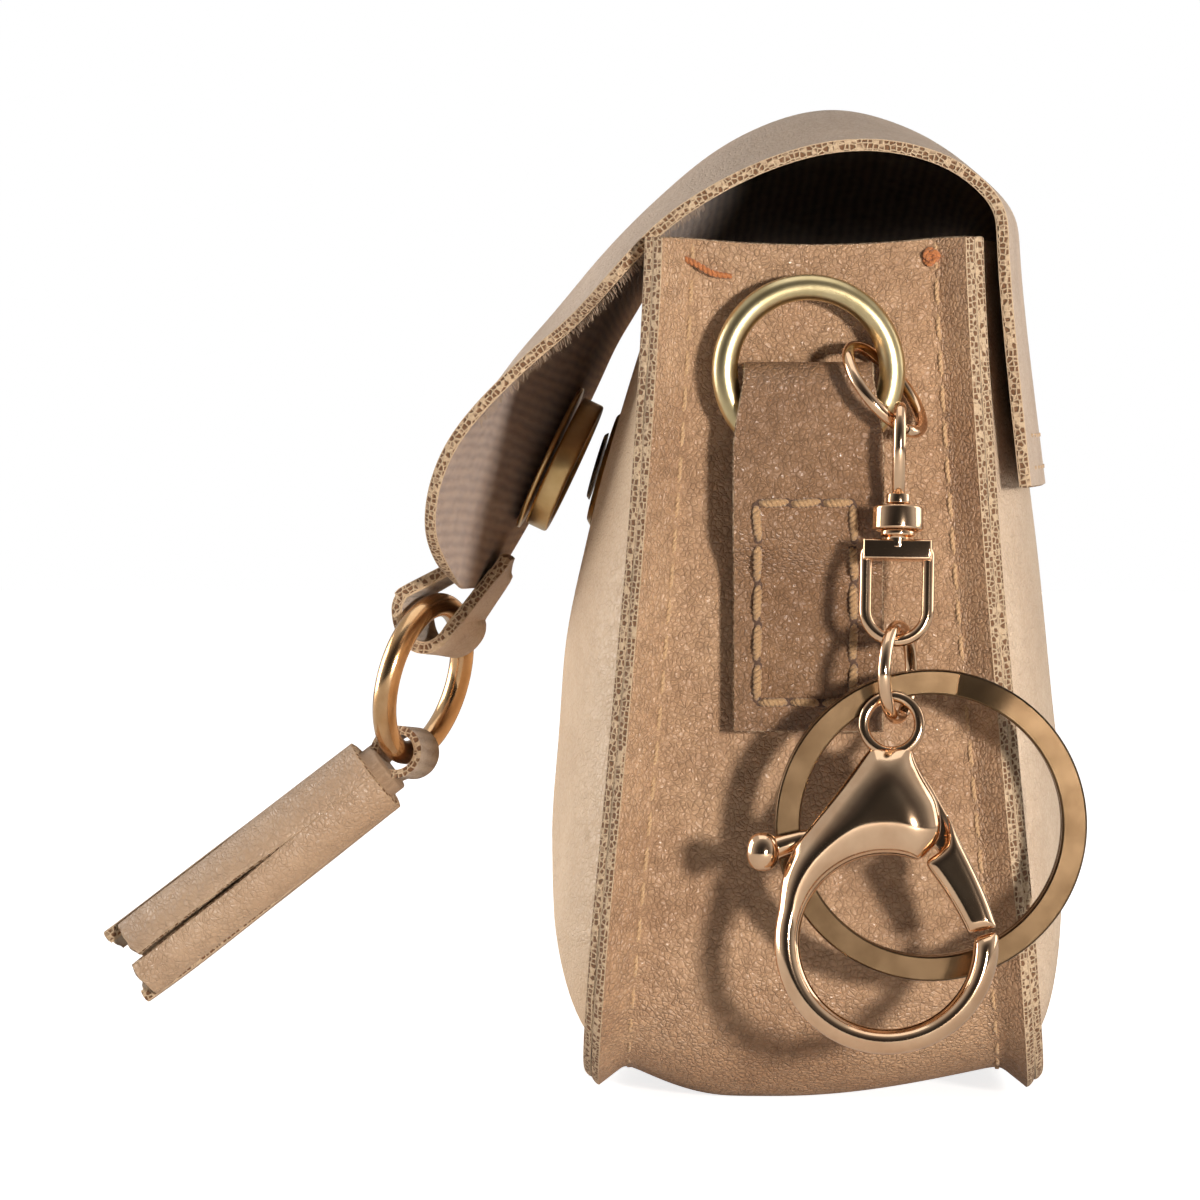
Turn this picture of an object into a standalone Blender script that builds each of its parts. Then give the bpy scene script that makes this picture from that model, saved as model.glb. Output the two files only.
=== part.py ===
# Carabiner mini pouch: a soft rectangular pouch of pebbled leatherette with a snap flap, a tassel at
# the tip of the flap, and on one side a ring tab that carries a short chain with a swivel, a lobster
# clasp and a flat split key ring.
# Frame: X is the width of the pouch, the front faces -Y, the chain hangs on the +X side, and the
# origin is the middle of the flat underside.

import math

import bmesh
import bpy
from mathutils import Matrix, Vector

for old in list(bpy.data.objects):
    bpy.data.objects.remove(old, do_unlink=True)

mm = 0.001

# Driving sizes of the shell
seam_half_width = 46.0 * mm
pouch_height = 86.3 * mm
seam_floor_height = 6.0 * mm
corner_radius = 15.0 * mm
leather = 1.4 * mm
flap_thickness = 1.6 * mm
seat_gap = 0.3 * mm
mouth_half_depth = 12.2 * mm
floor_half_depth = 19.4 * mm
flange_rise = 3.3 * mm
flange_spread = 3.0 * mm
side_bulge = 0.6 * mm
rest_flat_half_depth = 8.0 * mm
front_mouth_bulge = 1.5 * mm
front_full_bulge = 10.0 * mm
back_mouth_bulge = 6.0 * mm
back_full_bulge = 9.2 * mm
full_bulge_drop = 44.3 * mm
bulge_reach = 34.0 * mm
gusset_rows = 44
gusset_columns = 14
panel_rows = 14
panel_columns = 16
depth_curve_share = 1.3
bulge_curve_share = 1.2
bulge_round_share = 1.1

# Flap: how far its edges stand in from the seams, and how long its sewn tail is
flap_side_inset = 1.0 * mm
tongue_side_inset = 12.0 * mm
tip_half_width = 9.0 * mm
hinge_rise = 0.3 * mm
tail_length = 24.6 * mm

# Snap
snap_radius = 8.2 * mm
snap_height = 2.4 * mm
snap_drop = 23.3 * mm

# Wires, side tab and its ring
wire_heavy = 1.28 * mm
wire_light = 0.62 * mm
tab_half_width = 7.2 * mm
tab_neck_half_width = 6.2 * mm
tab_top_drop = 12.1 * mm
tab_length = 36.0 * mm
tab_centre = -0.5 * mm
side_ring_radius = 8.15 * mm
side_ring_drop = 13.0 * mm

gusset_colour = (0.48, 0.29, 0.16)
panel_colour = (0.59, 0.39, 0.23)
flap_colour = (0.55, 0.37, 0.23)
metals = {
    "antique": ((0.31, 0.20, 0.08), 0.42),
    "champagne": ((0.60, 0.47, 0.28), 0.30),
    "rose": ((0.86, 0.58, 0.36), 0.16),
    "brass": ((0.42, 0.22, 0.08), 0.30),
    "steel": ((0.60, 0.58, 0.55), 0.25),
}


def material(name, colour, roughness, metallic):
    """One Principled material with its colour, roughness and metallic value."""
    made = bpy.data.materials.new(name)
    made.use_nodes = True
    shader = made.node_tree.nodes["Principled BSDF"]
    shader.inputs["Base Color"].default_value = (*colour, 1.0)
    shader.inputs["Roughness"].default_value = roughness
    shader.inputs["Metallic"].default_value = metallic
    return made


def metal(node, kind):
    colour, roughness = metals[kind]
    return material(node + "_metal", colour, roughness, 1.0)


def leatherette(node, colour=gusset_colour):
    return material(node + "_leatherette", colour, 0.55, 0.0)


def add(name, bm, surface, location=(0, 0, 0), parent=None, smooth=True):
    """Turn a bmesh into a named object with its own material, placed at a location in the world."""
    bmesh.ops.recalc_face_normals(bm, faces=bm.faces[:])
    mesh = bpy.data.meshes.new(name)
    bm.to_mesh(mesh)
    bm.free()
    if smooth:
        mesh.shade_smooth()
        mesh.set_sharp_from_angle(angle=math.radians(35))
    mesh.materials.append(surface)
    made = bpy.data.objects.new(name, mesh)
    bpy.context.collection.objects.link(made)
    made.parent = parent
    made.location = Vector(location) - spot(parent)
    return made


def spot(made):
    """Where a joint's empty stands before its body is leaned."""
    place = Vector()
    while made:
        place += made.location
        made = made.parent
    return place


def pivot(name, place, parent=None):
    """An empty on a joint, for the pieces that turn or slide with it."""
    made = bpy.data.objects.new(name, None)
    bpy.context.collection.objects.link(made)
    made.parent = parent
    made.location = Vector(place) - spot(parent)
    return made


def solidify(made, thickness, offset=0.0):
    shell = made.modifiers.new("thickness", "SOLIDIFY")
    shell.thickness = thickness
    shell.offset = offset
    shell.use_even_offset = True
    return made


def boolean(made, tool, operation):
    """Join or cut with another object, which is then hidden as a guide."""
    step = made.modifiers.new(operation.lower(), "BOOLEAN")
    step.object = tool
    step.operation = operation
    tool.hide_render = True
    tool.display_type = "WIRE"
    return made


def grid(point, rows, columns):
    """A sheet of rows by columns, each vertex given by point(row share, column share)."""
    bm = bmesh.new()
    lines = []
    for i in range(rows + 1):
        line = [bm.verts.new(point(i / rows, j / columns)) for j in range(columns + 1)]
        lines.append(line)
    for upper, lower in zip(lines, lines[1:]):
        for j in range(columns):
            bm.faces.new((upper[j], upper[j + 1], lower[j + 1], lower[j]))
    return bm


def loft(rings, closed=False):
    """Skin a list of equal rings of points, with flat ends unless the rings close on themselves."""
    bm = bmesh.new()
    loops = [[bm.verts.new(p) for p in ring] for ring in rings]
    pairs = list(zip(loops, loops[1:]))
    if closed:
        pairs.append((loops[-1], loops[0]))
    for one, two in pairs:
        for k in range(len(one)):
            after = (k + 1) % len(one)
            bm.faces.new((one[k], one[after], two[after], two[k]))
    if not closed:
        bm.faces.new(loops[0])
        bm.faces.new(loops[-1])
    return bm


def sweep(path, half_wide, half_high, wide_axis, sides=10, closed=False):
    """Carry a rounded section along a path; its wide side lies along wide_axis as far as it can."""
    rings = []
    last = len(path) - 1
    for i, here in enumerate(path):
        before = path[i - 1] if (i or closed) else here
        after = path[(i + 1) % (last + 1)] if (i < last or closed) else here
        along = (Vector(after) - Vector(before)).normalized()
        high = along.cross(Vector(wide_axis)).normalized()
        wide = high.cross(along)
        ring = []
        for k in range(sides):
            turn = 2 * math.pi * (k + 0.5) / sides
            ring.append(Vector(here) + wide * (half_wide * math.cos(turn)) + high * (half_high * math.sin(turn)))
        rings.append(ring)
    return loft(rings, closed)


def strap(path, half_width, thickness, across):
    """A flat strap with square edges; its half width and the direction across it may follow the share of the path."""
    rings = []
    last = len(path) - 1
    for i, here in enumerate(path):
        before = path[max(i - 1, 0)]
        after = path[min(i + 1, last)]
        along = (Vector(after) - Vector(before)).normalized()
        wide = Vector(across(i / last) if callable(across) else across)
        up = along.cross(wide).normalized() * (thickness / 2)
        w = half_width(i / last) if callable(half_width) else half_width
        side = wide * w
        here = Vector(here)
        rings.append([here - side - up, here + side - up, here + side + up, here - side + up])
    return loft(rings)


def wire_ring(radius, wire, first, second, steps=40, sides=10):
    """A round wire ring whose plane holds the directions first and second."""
    path = []
    for i in range(steps):
        turn = 2 * math.pi * i / steps
        path.append(Vector(first) * (radius * math.cos(turn)) + Vector(second) * (radius * math.sin(turn)))
    across = Vector(first).cross(Vector(second))
    return sweep(path, wire, wire, across, sides, closed=True)


def turned(profile, steps=28):
    """Revolve a profile of (radius, height) pairs about Z; it starts and ends on the axis."""
    bm = bmesh.new()
    foot = bm.verts.new((0, 0, profile[0][1]))
    head = bm.verts.new((0, 0, profile[-1][1]))
    loops = []
    for radius, height in profile[1:-1]:
        loop = []
        for k in range(steps):
            turn = 2 * math.pi * k / steps
            loop.append(bm.verts.new((radius * math.cos(turn), radius * math.sin(turn), height)))
        loops.append(loop)
    for k in range(steps):
        after = (k + 1) % steps
        bm.faces.new((foot, loops[0][after], loops[0][k]))
        bm.faces.new((head, loops[-1][k], loops[-1][after]))
        for one, two in zip(loops, loops[1:]):
            bm.faces.new((one[k], one[after], two[after], two[k]))
    return bm


def turned_tube(profile, steps=28):
    """Revolve a closed profile of (radius, height) pairs that keeps clear of the axis."""
    rings = []
    for i in range(steps):
        turn = 2 * math.pi * i / steps
        rings.append([(r * math.cos(turn), r * math.sin(turn), h) for r, h in profile])
    return loft(rings, closed=True)


def smooth(share):
    share = min(max(share, 0.0), 1.0)
    return share * share * (3 - 2 * share)


def curve_through(knots, share):
    """A smooth curve that passes through its knots, each as far along as its place in the list."""
    spans = len(knots) - 1
    at = share * spans
    i = min(int(at), spans - 1)
    f = at - i
    p1, p2 = Vector(knots[i]), Vector(knots[i + 1])
    p0 = Vector(knots[i - 1]) if i else 2 * p1 - p2
    p3 = Vector(knots[i + 2]) if i + 2 <= spans else 2 * p2 - p1
    slope = (p2 - p0) / 2
    end = (p3 - p1) / 2
    one, two = f * f, f * f * f
    return p1 * (2 * two - 3 * one + 1) + slope * (two - 2 * one + f) + p2 * (3 * one - 2 * two) + end * (two - one)


# The seam line that the gusset and both panels share


def half_depth(z):
    """Half the depth of the pouch at its seam: narrow at the mouth, wide at the floor."""
    drop = 1 - min(max(z / pouch_height, 0.0), 1.0)
    return mouth_half_depth + (floor_half_depth - mouth_half_depth) * drop ** depth_curve_share


def seam_path(share):
    """Point and outward direction on the U of the seam, from the +X mouth down, under and up."""
    width = seam_half_width
    radius = corner_radius
    floor = seam_floor_height
    side = pouch_height - floor - radius
    bend = radius * math.pi / 2
    under = 2 * (width - radius)
    at = share * (2 * side + 2 * bend + under)
    if at <= side:
        return Vector((width, 0, pouch_height - at)), Vector((1, 0, 0))
    at -= side
    if at <= bend:
        turn = at / radius
        out = Vector((math.cos(turn), 0, -math.sin(turn)))
        return Vector((width - radius, 0, floor + radius)) + out * radius, out
    at -= bend
    if at <= under:
        return Vector((width - radius - at, 0, floor)), Vector((0, 0, -1))
    at -= under
    if at <= bend:
        turn = at / radius
        out = Vector((-math.sin(turn), 0, -math.cos(turn)))
        return Vector((radius - width, 0, floor + radius)) + out * radius, out
    at -= bend
    return Vector((-width, 0, floor + radius + at)), Vector((-1, 0, 0))


def gusset_point(along, across):
    """The strip's middle surface: flange, seam, bulging face, seam, flange."""
    place, out = seam_path(along)
    half = half_depth(place.z)
    flange_share = 1 / gusset_columns
    if across < flange_share or across > 1 - flange_share:
        reach = 1 - min(across, 1 - across) / flange_share
        sign = -1 if across < flange_share else 1
        return place + out * (flange_rise * reach) + Vector((0, sign * (half + flange_spread * reach), 0))
    y = half * (2 * (across - flange_share) / (1 - 2 * flange_share) - 1)
    under = max(0.0, -out.z) ** 2
    deepest = seam_floor_height - leather / 2
    room = 1 - max(0.0, abs(y) - rest_flat_half_depth) / (half - rest_flat_half_depth)
    bulge = side_bulge * (1 - (y / half) ** 2) * (1 - under) + deepest * math.sin(room * math.pi / 2) * under
    return place + out * bulge + Vector((0, y, 0))


def panel_bulge(z, mouth, full):
    share = min(max((pouch_height - z) / full_bulge_drop, 0.0), 1.0)
    return mouth + (full - mouth) * math.sin(share ** bulge_curve_share * math.pi / 2)


panel_inset = (leather + seat_gap) / math.sqrt(2)


def panel_y(x, z, mouth, full):
    """How far the middle surface of a panel stands from the middle plane at a place on it."""
    width = seam_half_width - panel_inset
    radius = corner_radius - panel_inset
    floor = seam_floor_height + panel_inset
    dx = abs(x) - (width - radius)
    dz = (floor + radius) - z
    if dx > 0 and dz > 0:
        inside = radius - math.hypot(dx, dz)
    else:
        inside = min(radius - dx, radius - dz)
    share = min(max(inside / bulge_reach, 0.0), 1.0)
    rise = math.sqrt(max(0.0, 1 - (1 - share) ** 2)) ** bulge_round_share
    return half_depth(z) + panel_inset + panel_bulge(z, mouth, full) * rise


def panel(name, sign, mouth, full):
    """A panel: the bulging face as a grid, with the flange turned out along both sides and below."""
    width = seam_half_width - panel_inset
    radius = corner_radius - panel_inset
    floor = seam_floor_height + panel_inset
    bm = bmesh.new()
    lines = []
    for i in range(panel_rows + 1):
        line = []
        for j in range(panel_columns + 1):
            x = width * math.sin((2 * j / panel_columns - 1) * math.pi / 2)
            over = max(0.0, abs(x) - (width - radius))
            low = floor + radius - math.sqrt(max(0.0, radius ** 2 - over ** 2))
            z = pouch_height + (low - pouch_height) * (i / panel_rows)
            line.append(bm.verts.new((x, sign * panel_y(x, z, mouth, full), z)))
        lines.append(line)
    for upper, lower in zip(lines, lines[1:]):
        for j in range(panel_columns):
            bm.faces.new((upper[j], upper[j + 1], lower[j + 1], lower[j]))
    border = [line[0] for line in lines] + lines[-1][1:-1] + [line[-1] for line in reversed(lines)]
    raised = []
    for vert in border:
        x, y, z = vert.co
        dx = abs(x) - (width - radius)
        dz = (floor + radius) - z
        if dz <= 0:
            out = Vector((math.copysign(1, x), 0, 0))
        elif dx <= 0:
            out = Vector((0, 0, -1))
        else:
            out = Vector((math.copysign(dx, x), 0, -dz)).normalized()
        raised.append(bm.verts.new(vert.co + out * flange_rise + Vector((0, sign * flange_spread, 0))))
    for k in range(len(border) - 1):
        bm.faces.new((border[k], border[k + 1], raised[k + 1], raised[k]))
    return solidify(add(name, bm, leatherette(name, panel_colour)), leather)


def back_y(x, z):
    return panel_y(x, z, back_mouth_bulge, back_full_bulge)


def front_y(x, z):
    return panel_y(x, z, front_mouth_bulge, front_full_bulge)


def make_shell():
    gusset = grid(gusset_point, gusset_rows, gusset_columns)
    solidify(add("gusset_strip", gusset, leatherette("gusset_strip")), leather)
    panel("front_panel", -1, front_mouth_bulge, front_full_bulge)
    panel("back_panel", 1, back_mouth_bulge, back_full_bulge)


# The flap

flap_half_width = seam_half_width - flap_side_inset
tongue_half_width = flap_half_width - tongue_side_inset
hinge_height = pouch_height + hinge_rise
tail_low = hinge_height - tail_length
sheet_seat = (leather + flap_thickness) / 2 + seat_gap
tail_hug_share = 0.8
tail_rows = 6
flap_rows = 30
flap_columns = 14
flap_start_share = 0.012

flap_reach = 12.2 * mm
leaving_share = 0.1
tip_roundness = 2.2

# Lengthwise curves of the flap from its fold to its tip, each point a pair of shares: how far behind
# the middle of the pouch it lies, and how high above the fold. Over the mouth a share is one of the
# mouth's half depth; in front of the mouth and below the fold it is one of the flap's own reach
far_edge_shares = [
    (1.574, 0.0), (1.426, 0.230), (0.779, 0.197), (0.0, 0.180), (-0.738, 0.164), (-1.410, -0.049),
    (-1.754, -0.541), (-2.033, -1.131), (-2.328, -1.754), (-2.639, -2.377), (-2.902, -2.902),
]
centre_shares = [
    (1.738, 0.0), (1.385, 0.525), (0.820, 0.918), (0.082, 1.074), (-0.680, 0.811), (-1.311, 0.295),
    (-1.803, -0.393), (-2.131, -1.148), (-2.434, -1.820), (-2.730, -2.418), (-2.967, -2.943),
]
ridge_shares = [
    (1.705, 0.0), (1.336, 0.541), (0.779, 0.918), (0.082, 1.066), (-0.680, 0.803), (-1.361, 0.270),
    (-1.967, -0.377), (-2.492, -1.016), (-2.787, -1.689), (-2.992, -2.344), (-3.016, -2.930),
]
near_edge_shares = [
    (1.574, 0.0), (1.262, 0.475), (0.738, 0.705), (0.123, 0.721), (-0.525, 0.516), (-1.180, 0.115),
    (-1.770, -0.492), (-2.443, -1.066), (-3.008, -1.721), (-3.213, -2.377), (-3.074, -2.910),
]
far_quarter_share = 0.62


def tail_point(along, across):
    """The sewn end of the flap, lying on the outside of the back panel."""
    x = flap_half_width * (2 * across - 1)
    z = tail_low + tail_length * along
    return Vector((x, back_y(x * tail_hug_share, z) + sheet_seat, z))


def flap_width(along):
    """Half width of the flap: full over the top, stepped in below the front edge, round at the tip."""
    step_start, step_end = 0.56, 0.66
    if along < step_start:
        return flap_half_width
    if along < step_end:
        return flap_half_width - tongue_side_inset * smooth((along - step_start) / (step_end - step_start))
    drop = (along - step_end) / (1 - step_end)
    return tip_half_width + (tongue_half_width - tip_half_width) * math.sqrt(max(0.0, 1 - drop ** tip_roundness))


def flap_length(share, least):
    """The length that a share stands for; beyond the least share the flap's own reach counts."""
    over_mouth = max(share, least)
    return over_mouth * mouth_half_depth + (share - over_mouth) * flap_reach


def flap_point(along, across):
    """Middle surface of the flap, carried on its lengthwise curves."""
    curves = []
    for shares in (far_edge_shares, centre_shares, ridge_shares, near_edge_shares):
        knots = [(0, flap_length(back, -1), hinge_height + flap_length(up, 0)) for back, up in shares]
        curves.append(curve_through(knots, along))
    far, centre, ridge, near = curves
    here = curve_through([far, far.lerp(centre, far_quarter_share), centre, ridge, near], across)
    x = flap_width(along) * (2 * across - 1)
    sewn = back_y(x * tail_hug_share, hinge_height) + sheet_seat
    leaving = smooth(along / leaving_share)
    return Vector((x, sewn + (here.y - sewn) * leaving, here.z))


def make_flap(turning):
    tail = grid(tail_point, tail_rows, flap_columns)
    solidify(add("flap_tail", tail, leatherette("flap_tail", flap_colour)), flap_thickness)

    def cover(along, across):
        return flap_point(flap_start_share + (1 - flap_start_share) * along, across) - turning.location

    made = add("flap_cover", grid(cover, flap_rows, flap_columns), leatherette("flap_cover", flap_colour),
               turning.location, turning)
    solidify(made, flap_thickness)


# The snap: its magnetic half on the flap and its mating half on the front panel

snap_share = 0.792
snap_step_share = 0.02
snap_seat_share = 1.6
washer_thickness = 0.5 * mm
magnet_recess = 0.7 * mm
cup_wall = 0.8 * mm
stud_radius = 3.8 * mm
stud_height = 0.4 * mm
stud_hole_radius = 1.9 * mm
plate_radius = 6.4 * mm
plate_thickness = 0.6 * mm
edge_slope_share = 0.9


def snap_frame():
    """Middle of the snap on the flap's inside and the direction in which its cup faces."""
    here = flap_point(snap_share, 0.5)
    step = flap_point(snap_share + snap_step_share, 0.5) - flap_point(snap_share - snap_step_share, 0.5)
    inward = -Vector((0, step.z, -step.y)).normalized()
    return here + inward * (flap_thickness / 2 + seat_gap * snap_seat_share), inward


def aim(made, direction):
    """Turn a piece so that its own Z runs along a direction."""
    made.rotation_euler = Vector(direction).to_track_quat("Z", "Y").to_euler()
    return made


def make_flap_snap(turning):
    place, inward = snap_frame()
    base = turned([(0, 0), (snap_radius, 0), (snap_radius, washer_thickness), (0, washer_thickness)])
    aim(add("flap_snap_washer", base, metal("flap_snap_washer", "brass"), place, turning), inward)
    foot = place + inward * (washer_thickness + seat_gap)
    outer = snap_radius - cup_wall
    inner = outer - 2 * cup_wall
    rim = snap_height
    cup = turned([(0, 0), (outer, 0), (outer + cup_wall / 2, rim - cup_wall / 2), (outer, rim), (inner, rim),
                  (inner, cup_wall), (0, cup_wall)])
    aim(add("flap_snap_cup", cup, metal("flap_snap_cup", "brass"), foot, turning), inward)
    disc_radius = inner - seat_gap
    disc_top = rim - magnet_recess
    low = cup_wall + seat_gap
    disc = turned([(0, low), (disc_radius, low), (disc_radius, disc_top), (0, disc_top)])
    aim(add("flap_snap_magnet", disc, metal("flap_snap_magnet", "steel"), foot, turning), inward)


def make_front_snap():
    """The mating half on the front panel, and the washer that holds it from inside."""
    z = pouch_height - snap_drop
    rise = snap_radius / 2
    slope = Vector((0, -(front_y(0, z + rise) - front_y(0, z - rise)), 2 * rise)).normalized()
    out = Vector((0, -slope.z, slope.y))
    middle = Vector((0, -front_y(0, z), z))
    skin = leather / 2 + seat_gap
    plate = turned([(0, 0), (plate_radius, 0), (plate_radius * edge_slope_share, plate_thickness),
                    (0, plate_thickness)])
    aim(add("front_snap_plate", plate, metal("front_snap_plate", "brass"), middle + out * skin), out)
    seat = middle + out * (skin + plate_thickness + seat_gap)
    stud = turned([(0, 0), (stud_radius, 0), (stud_radius * edge_slope_share, stud_height), (0, stud_height)])
    aim(add("front_snap_stud", stud, metal("front_snap_stud", "steel"), seat), out)
    inner = -out * (skin + seat_gap)
    ring = turned_tube([(stud_hole_radius, 0), (snap_radius, 0), (snap_radius, washer_thickness),
                        (stud_hole_radius, washer_thickness)])
    aim(add("front_snap_washer", ring, metal("front_snap_washer", "steel"), middle + inner), -out)


# The side tab and its ring

leaf_thickness = 1.3 * mm
tab_top = pouch_height - tab_top_drop
tab_bottom = tab_top - tab_length
side_ring_height = pouch_height - side_ring_drop
inner_leaf = seam_half_width + leather / 2 + side_bulge + seat_gap + leaf_thickness / 2
leaf_gap = 2 * wire_heavy + 2 * seat_gap
outer_leaf = inner_leaf + leaf_thickness + leaf_gap
side_ring_x = (inner_leaf + outer_leaf) / 2
tab_leg_steps = 8
tab_fold_steps = 10
neck_start_share = 0.10
neck_spread_share = 0.22
closing_start_share = 1.93
closing_spread_share = 0.7


def tab_half(share):
    """The tab is a little narrower where it folds over the ring."""
    off = abs(share - 0.5) * 2
    wider = tab_half_width - tab_neck_half_width
    return tab_neck_half_width + wider * smooth((off - neck_start_share) / neck_spread_share)


def make_side_tab():
    """A folded strap: the leaf against the gusset, the fold over the ring, and the leaf in front."""
    reach = (outer_leaf - inner_leaf) / 2
    turn_height = tab_top - leaf_thickness / 2 - reach
    path = []
    for i in range(tab_leg_steps):
        path.append((inner_leaf, tab_centre, tab_bottom + (turn_height - tab_bottom) * i / tab_leg_steps))
    for i in range(tab_fold_steps + 1):
        turn = math.pi * i / tab_fold_steps
        path.append((side_ring_x - reach * math.cos(turn), tab_centre, turn_height + reach * math.sin(turn)))
    for i in range(tab_leg_steps - 1, -1, -1):
        path.append((outer_leaf, tab_centre, tab_bottom + (turn_height - tab_bottom) * i / tab_leg_steps))
    # Below the ring the front leaf closes on the other one, and the stitches hold them there
    closing = leaf_gap - seat_gap
    closing_start = tab_top - side_ring_radius * closing_start_share
    shut = []
    for x, y, z in path:
        share = smooth((closing_start - z) / (side_ring_radius * closing_spread_share))
        if x > side_ring_x and z < turn_height:
            x -= closing * share
        shut.append((x, y, z))
    folded = strap(shut, tab_half, leaf_thickness, (0, 1, 0))
    add("side_ring_tab", folded, leatherette("side_ring_tab"), smooth=False)


side_ring_place = Vector((side_ring_x, tab_centre, side_ring_height))


def make_side_ring(turning):
    ring = wire_ring(side_ring_radius, wire_heavy, (0, 1, 0), (0, 0, 1), 40, 10)
    add("side_ring", ring, metal("side_ring", "champagne"), turning.location, turning)


# The chain: jump ring, swivel, jump ring. Its places are counted from the middle of the side ring

upper_link_radius = 5.15 * mm
upper_link_from_ring = Vector((2.22, 7.4, -1.8)) * mm
upper_link_place = side_ring_place + upper_link_from_ring
upper_link_lean = math.radians(40.0)
upper_link_turn = math.radians(20.0)


def upper_link_directions():
    down = Vector((0, math.sin(upper_link_lean), -math.cos(upper_link_lean)))
    left = Vector((0, -math.cos(upper_link_lean), -math.sin(upper_link_lean)))
    return down, Vector((1, 0, 0)) * math.cos(upper_link_turn) + left * math.sin(upper_link_turn)


def make_upper_link(turning):
    down, near = upper_link_directions()
    link = wire_ring(upper_link_radius, wire_light, down, near, 32, 8)
    add("upper_jump_ring", link, metal("upper_jump_ring", "rose"), upper_link_place, turning)


swivel_from_ring = Vector((5.12, 8.8, -3.6)) * mm
bail_from_ring = Vector((8.52, 8.4, -26.7)) * mm
swivel_top = side_ring_place + swivel_from_ring
bail_bottom = side_ring_place + bail_from_ring
chain_axis = (bail_bottom - swivel_top).normalized()
eye_radius = 3.3 * mm
collar_radius = 1.15 * mm
drum_radius = 2.45 * mm
drum_height = 2.3 * mm
drum_wall = 0.5 * mm
bail_half_width = 3.0 * mm
bail_wire = 0.6 * mm
bail_bend_share = 1.6
yoke_half_height = 1.0 * mm
yoke_depth = 2.2 * mm
plug_reach_share = 2.6
bail_bend_steps = 8
bail_bow_steps = 12


def along_chain(distance):
    return swivel_top + chain_axis * distance


eye_bottom = 2 * eye_radius
drum_start = eye_bottom + 2 * wire_light


def make_swivel_eye(body):
    """The eye, with a shank and a rivet head that turns inside the drum."""
    side = chain_axis.cross(Vector((0, 1, 0))).normalized()
    ring = wire_ring(eye_radius, wire_light, chain_axis, side, 32, 8)
    eye = add("swivel_eye", ring, metal("swivel_eye", "rose"), along_chain(eye_radius), body)
    shank_radius = collar_radius - 2 * seat_gap
    head_radius = drum_radius - drum_wall - seat_gap
    collar_end = drum_start - seat_gap - eye_bottom
    head_start = drum_start + drum_wall + seat_gap - eye_bottom
    head_end = head_start + drum_wall
    shank = turned([(0, 0), (collar_radius, 0), (collar_radius, collar_end), (shank_radius, collar_end),
                    (shank_radius, head_start), (head_radius, head_start), (head_radius, head_end), (0, head_end)], 20)
    stem = add("swivel_eye_stem", shank, metal("swivel_eye_stem", "rose"), along_chain(eye_bottom), body)
    aim(stem, chain_axis)
    boolean(eye, stem, "UNION")


def bail_outline(straight):
    """The bent wire seen flat: (across, down) from its straight top edge, round and back."""
    corner = bail_wire * bail_bend_share
    flat = bail_half_width - corner
    path = []
    for i in range(bail_bend_steps + 1):
        turn = math.pi / 2 * (1 - i / bail_bend_steps)
        path.append((flat + corner * math.cos(turn), corner - corner * math.sin(turn)))
    for i in range(bail_bow_steps + 1):
        turn = math.pi * i / bail_bow_steps
        path.append((bail_half_width * math.cos(turn), straight + bail_half_width * math.sin(turn)))
    for i in range(bail_bend_steps + 1):
        turn = math.pi / 2 * i / bail_bend_steps
        path.append((-flat - corner * math.cos(turn), corner - corner * math.sin(turn)))
    return path


def make_swivel_body(body):
    """The hollow drum, and the bail under it with the plug that closes the drum."""
    hole = collar_radius - seat_gap
    inner = drum_radius - drum_wall
    drum = turned_tube([(hole, 0), (drum_radius, 0), (drum_radius, drum_height), (inner, drum_height),
                        (inner, drum_wall), (hole, drum_wall)], 24)
    shell = add("swivel_drum", drum, metal("swivel_drum", "rose"), along_chain(drum_start), body)
    aim(shell, chain_axis)
    cross = (Vector((0, 1, 0)) - chain_axis * chain_axis.y).normalized()
    top = drum_start + drum_height + seat_gap + 2 * bail_wire
    bottom = (bail_bottom - swivel_top).length
    outline = bail_outline(bottom - top - bail_half_width)
    points = [cross * across + chain_axis * down for across, down in outline]
    wire = sweep(points, bail_wire, bail_wire, chain_axis.cross(cross), 8, closed=True)
    bail = add("swivel_bail", wire, metal("swivel_bail", "rose"), along_chain(top), body)
    plug_radius = inner - seat_gap
    plug = turned([(0, 0), (plug_radius, 0), (plug_radius, bail_wire), (collar_radius, bail_wire),
                   (collar_radius, 3 * bail_wire), (0, 3 * bail_wire)], 20)
    plug_foot = along_chain(top - plug_reach_share * bail_wire)
    cap = add("swivel_plug", plug, metal("swivel_plug", "rose"), plug_foot, body)
    aim(cap, chain_axis)
    boolean(bail, cap, "UNION")
    yoke_middle = yoke_half_height - bail_wire
    yoke_reach = bail_half_width + bail_wire / 2
    bar = [cross * -yoke_reach, cross * yoke_reach]
    yoke = add("swivel_yoke", strap(bar, yoke_half_height, yoke_depth, chain_axis), metal("swivel_yoke", "rose"),
               along_chain(top + yoke_middle), body)
    boolean(bail, yoke, "UNION")


lower_link_radius = 4.0 * mm
lower_link_turn = math.radians(18.0)
lower_link_aside = 0.2 * mm
lower_link_slack = 0.15 * mm
lower_link_rise = bail_wire + wire_light + lower_link_slack - lower_link_radius
lower_link_place = bail_bottom + Vector((0, lower_link_aside, lower_link_rise))


def make_lower_link(turning):
    side = Vector((math.cos(lower_link_turn), -math.sin(lower_link_turn), 0))
    link = wire_ring(lower_link_radius, wire_light, (0, 0, 1), side, 28, 8)
    add("lower_jump_ring", link, metal("lower_jump_ring", "rose"), lower_link_place, turning)


# The lobster clasp, drawn in its own plane with its eye at the origin

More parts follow.
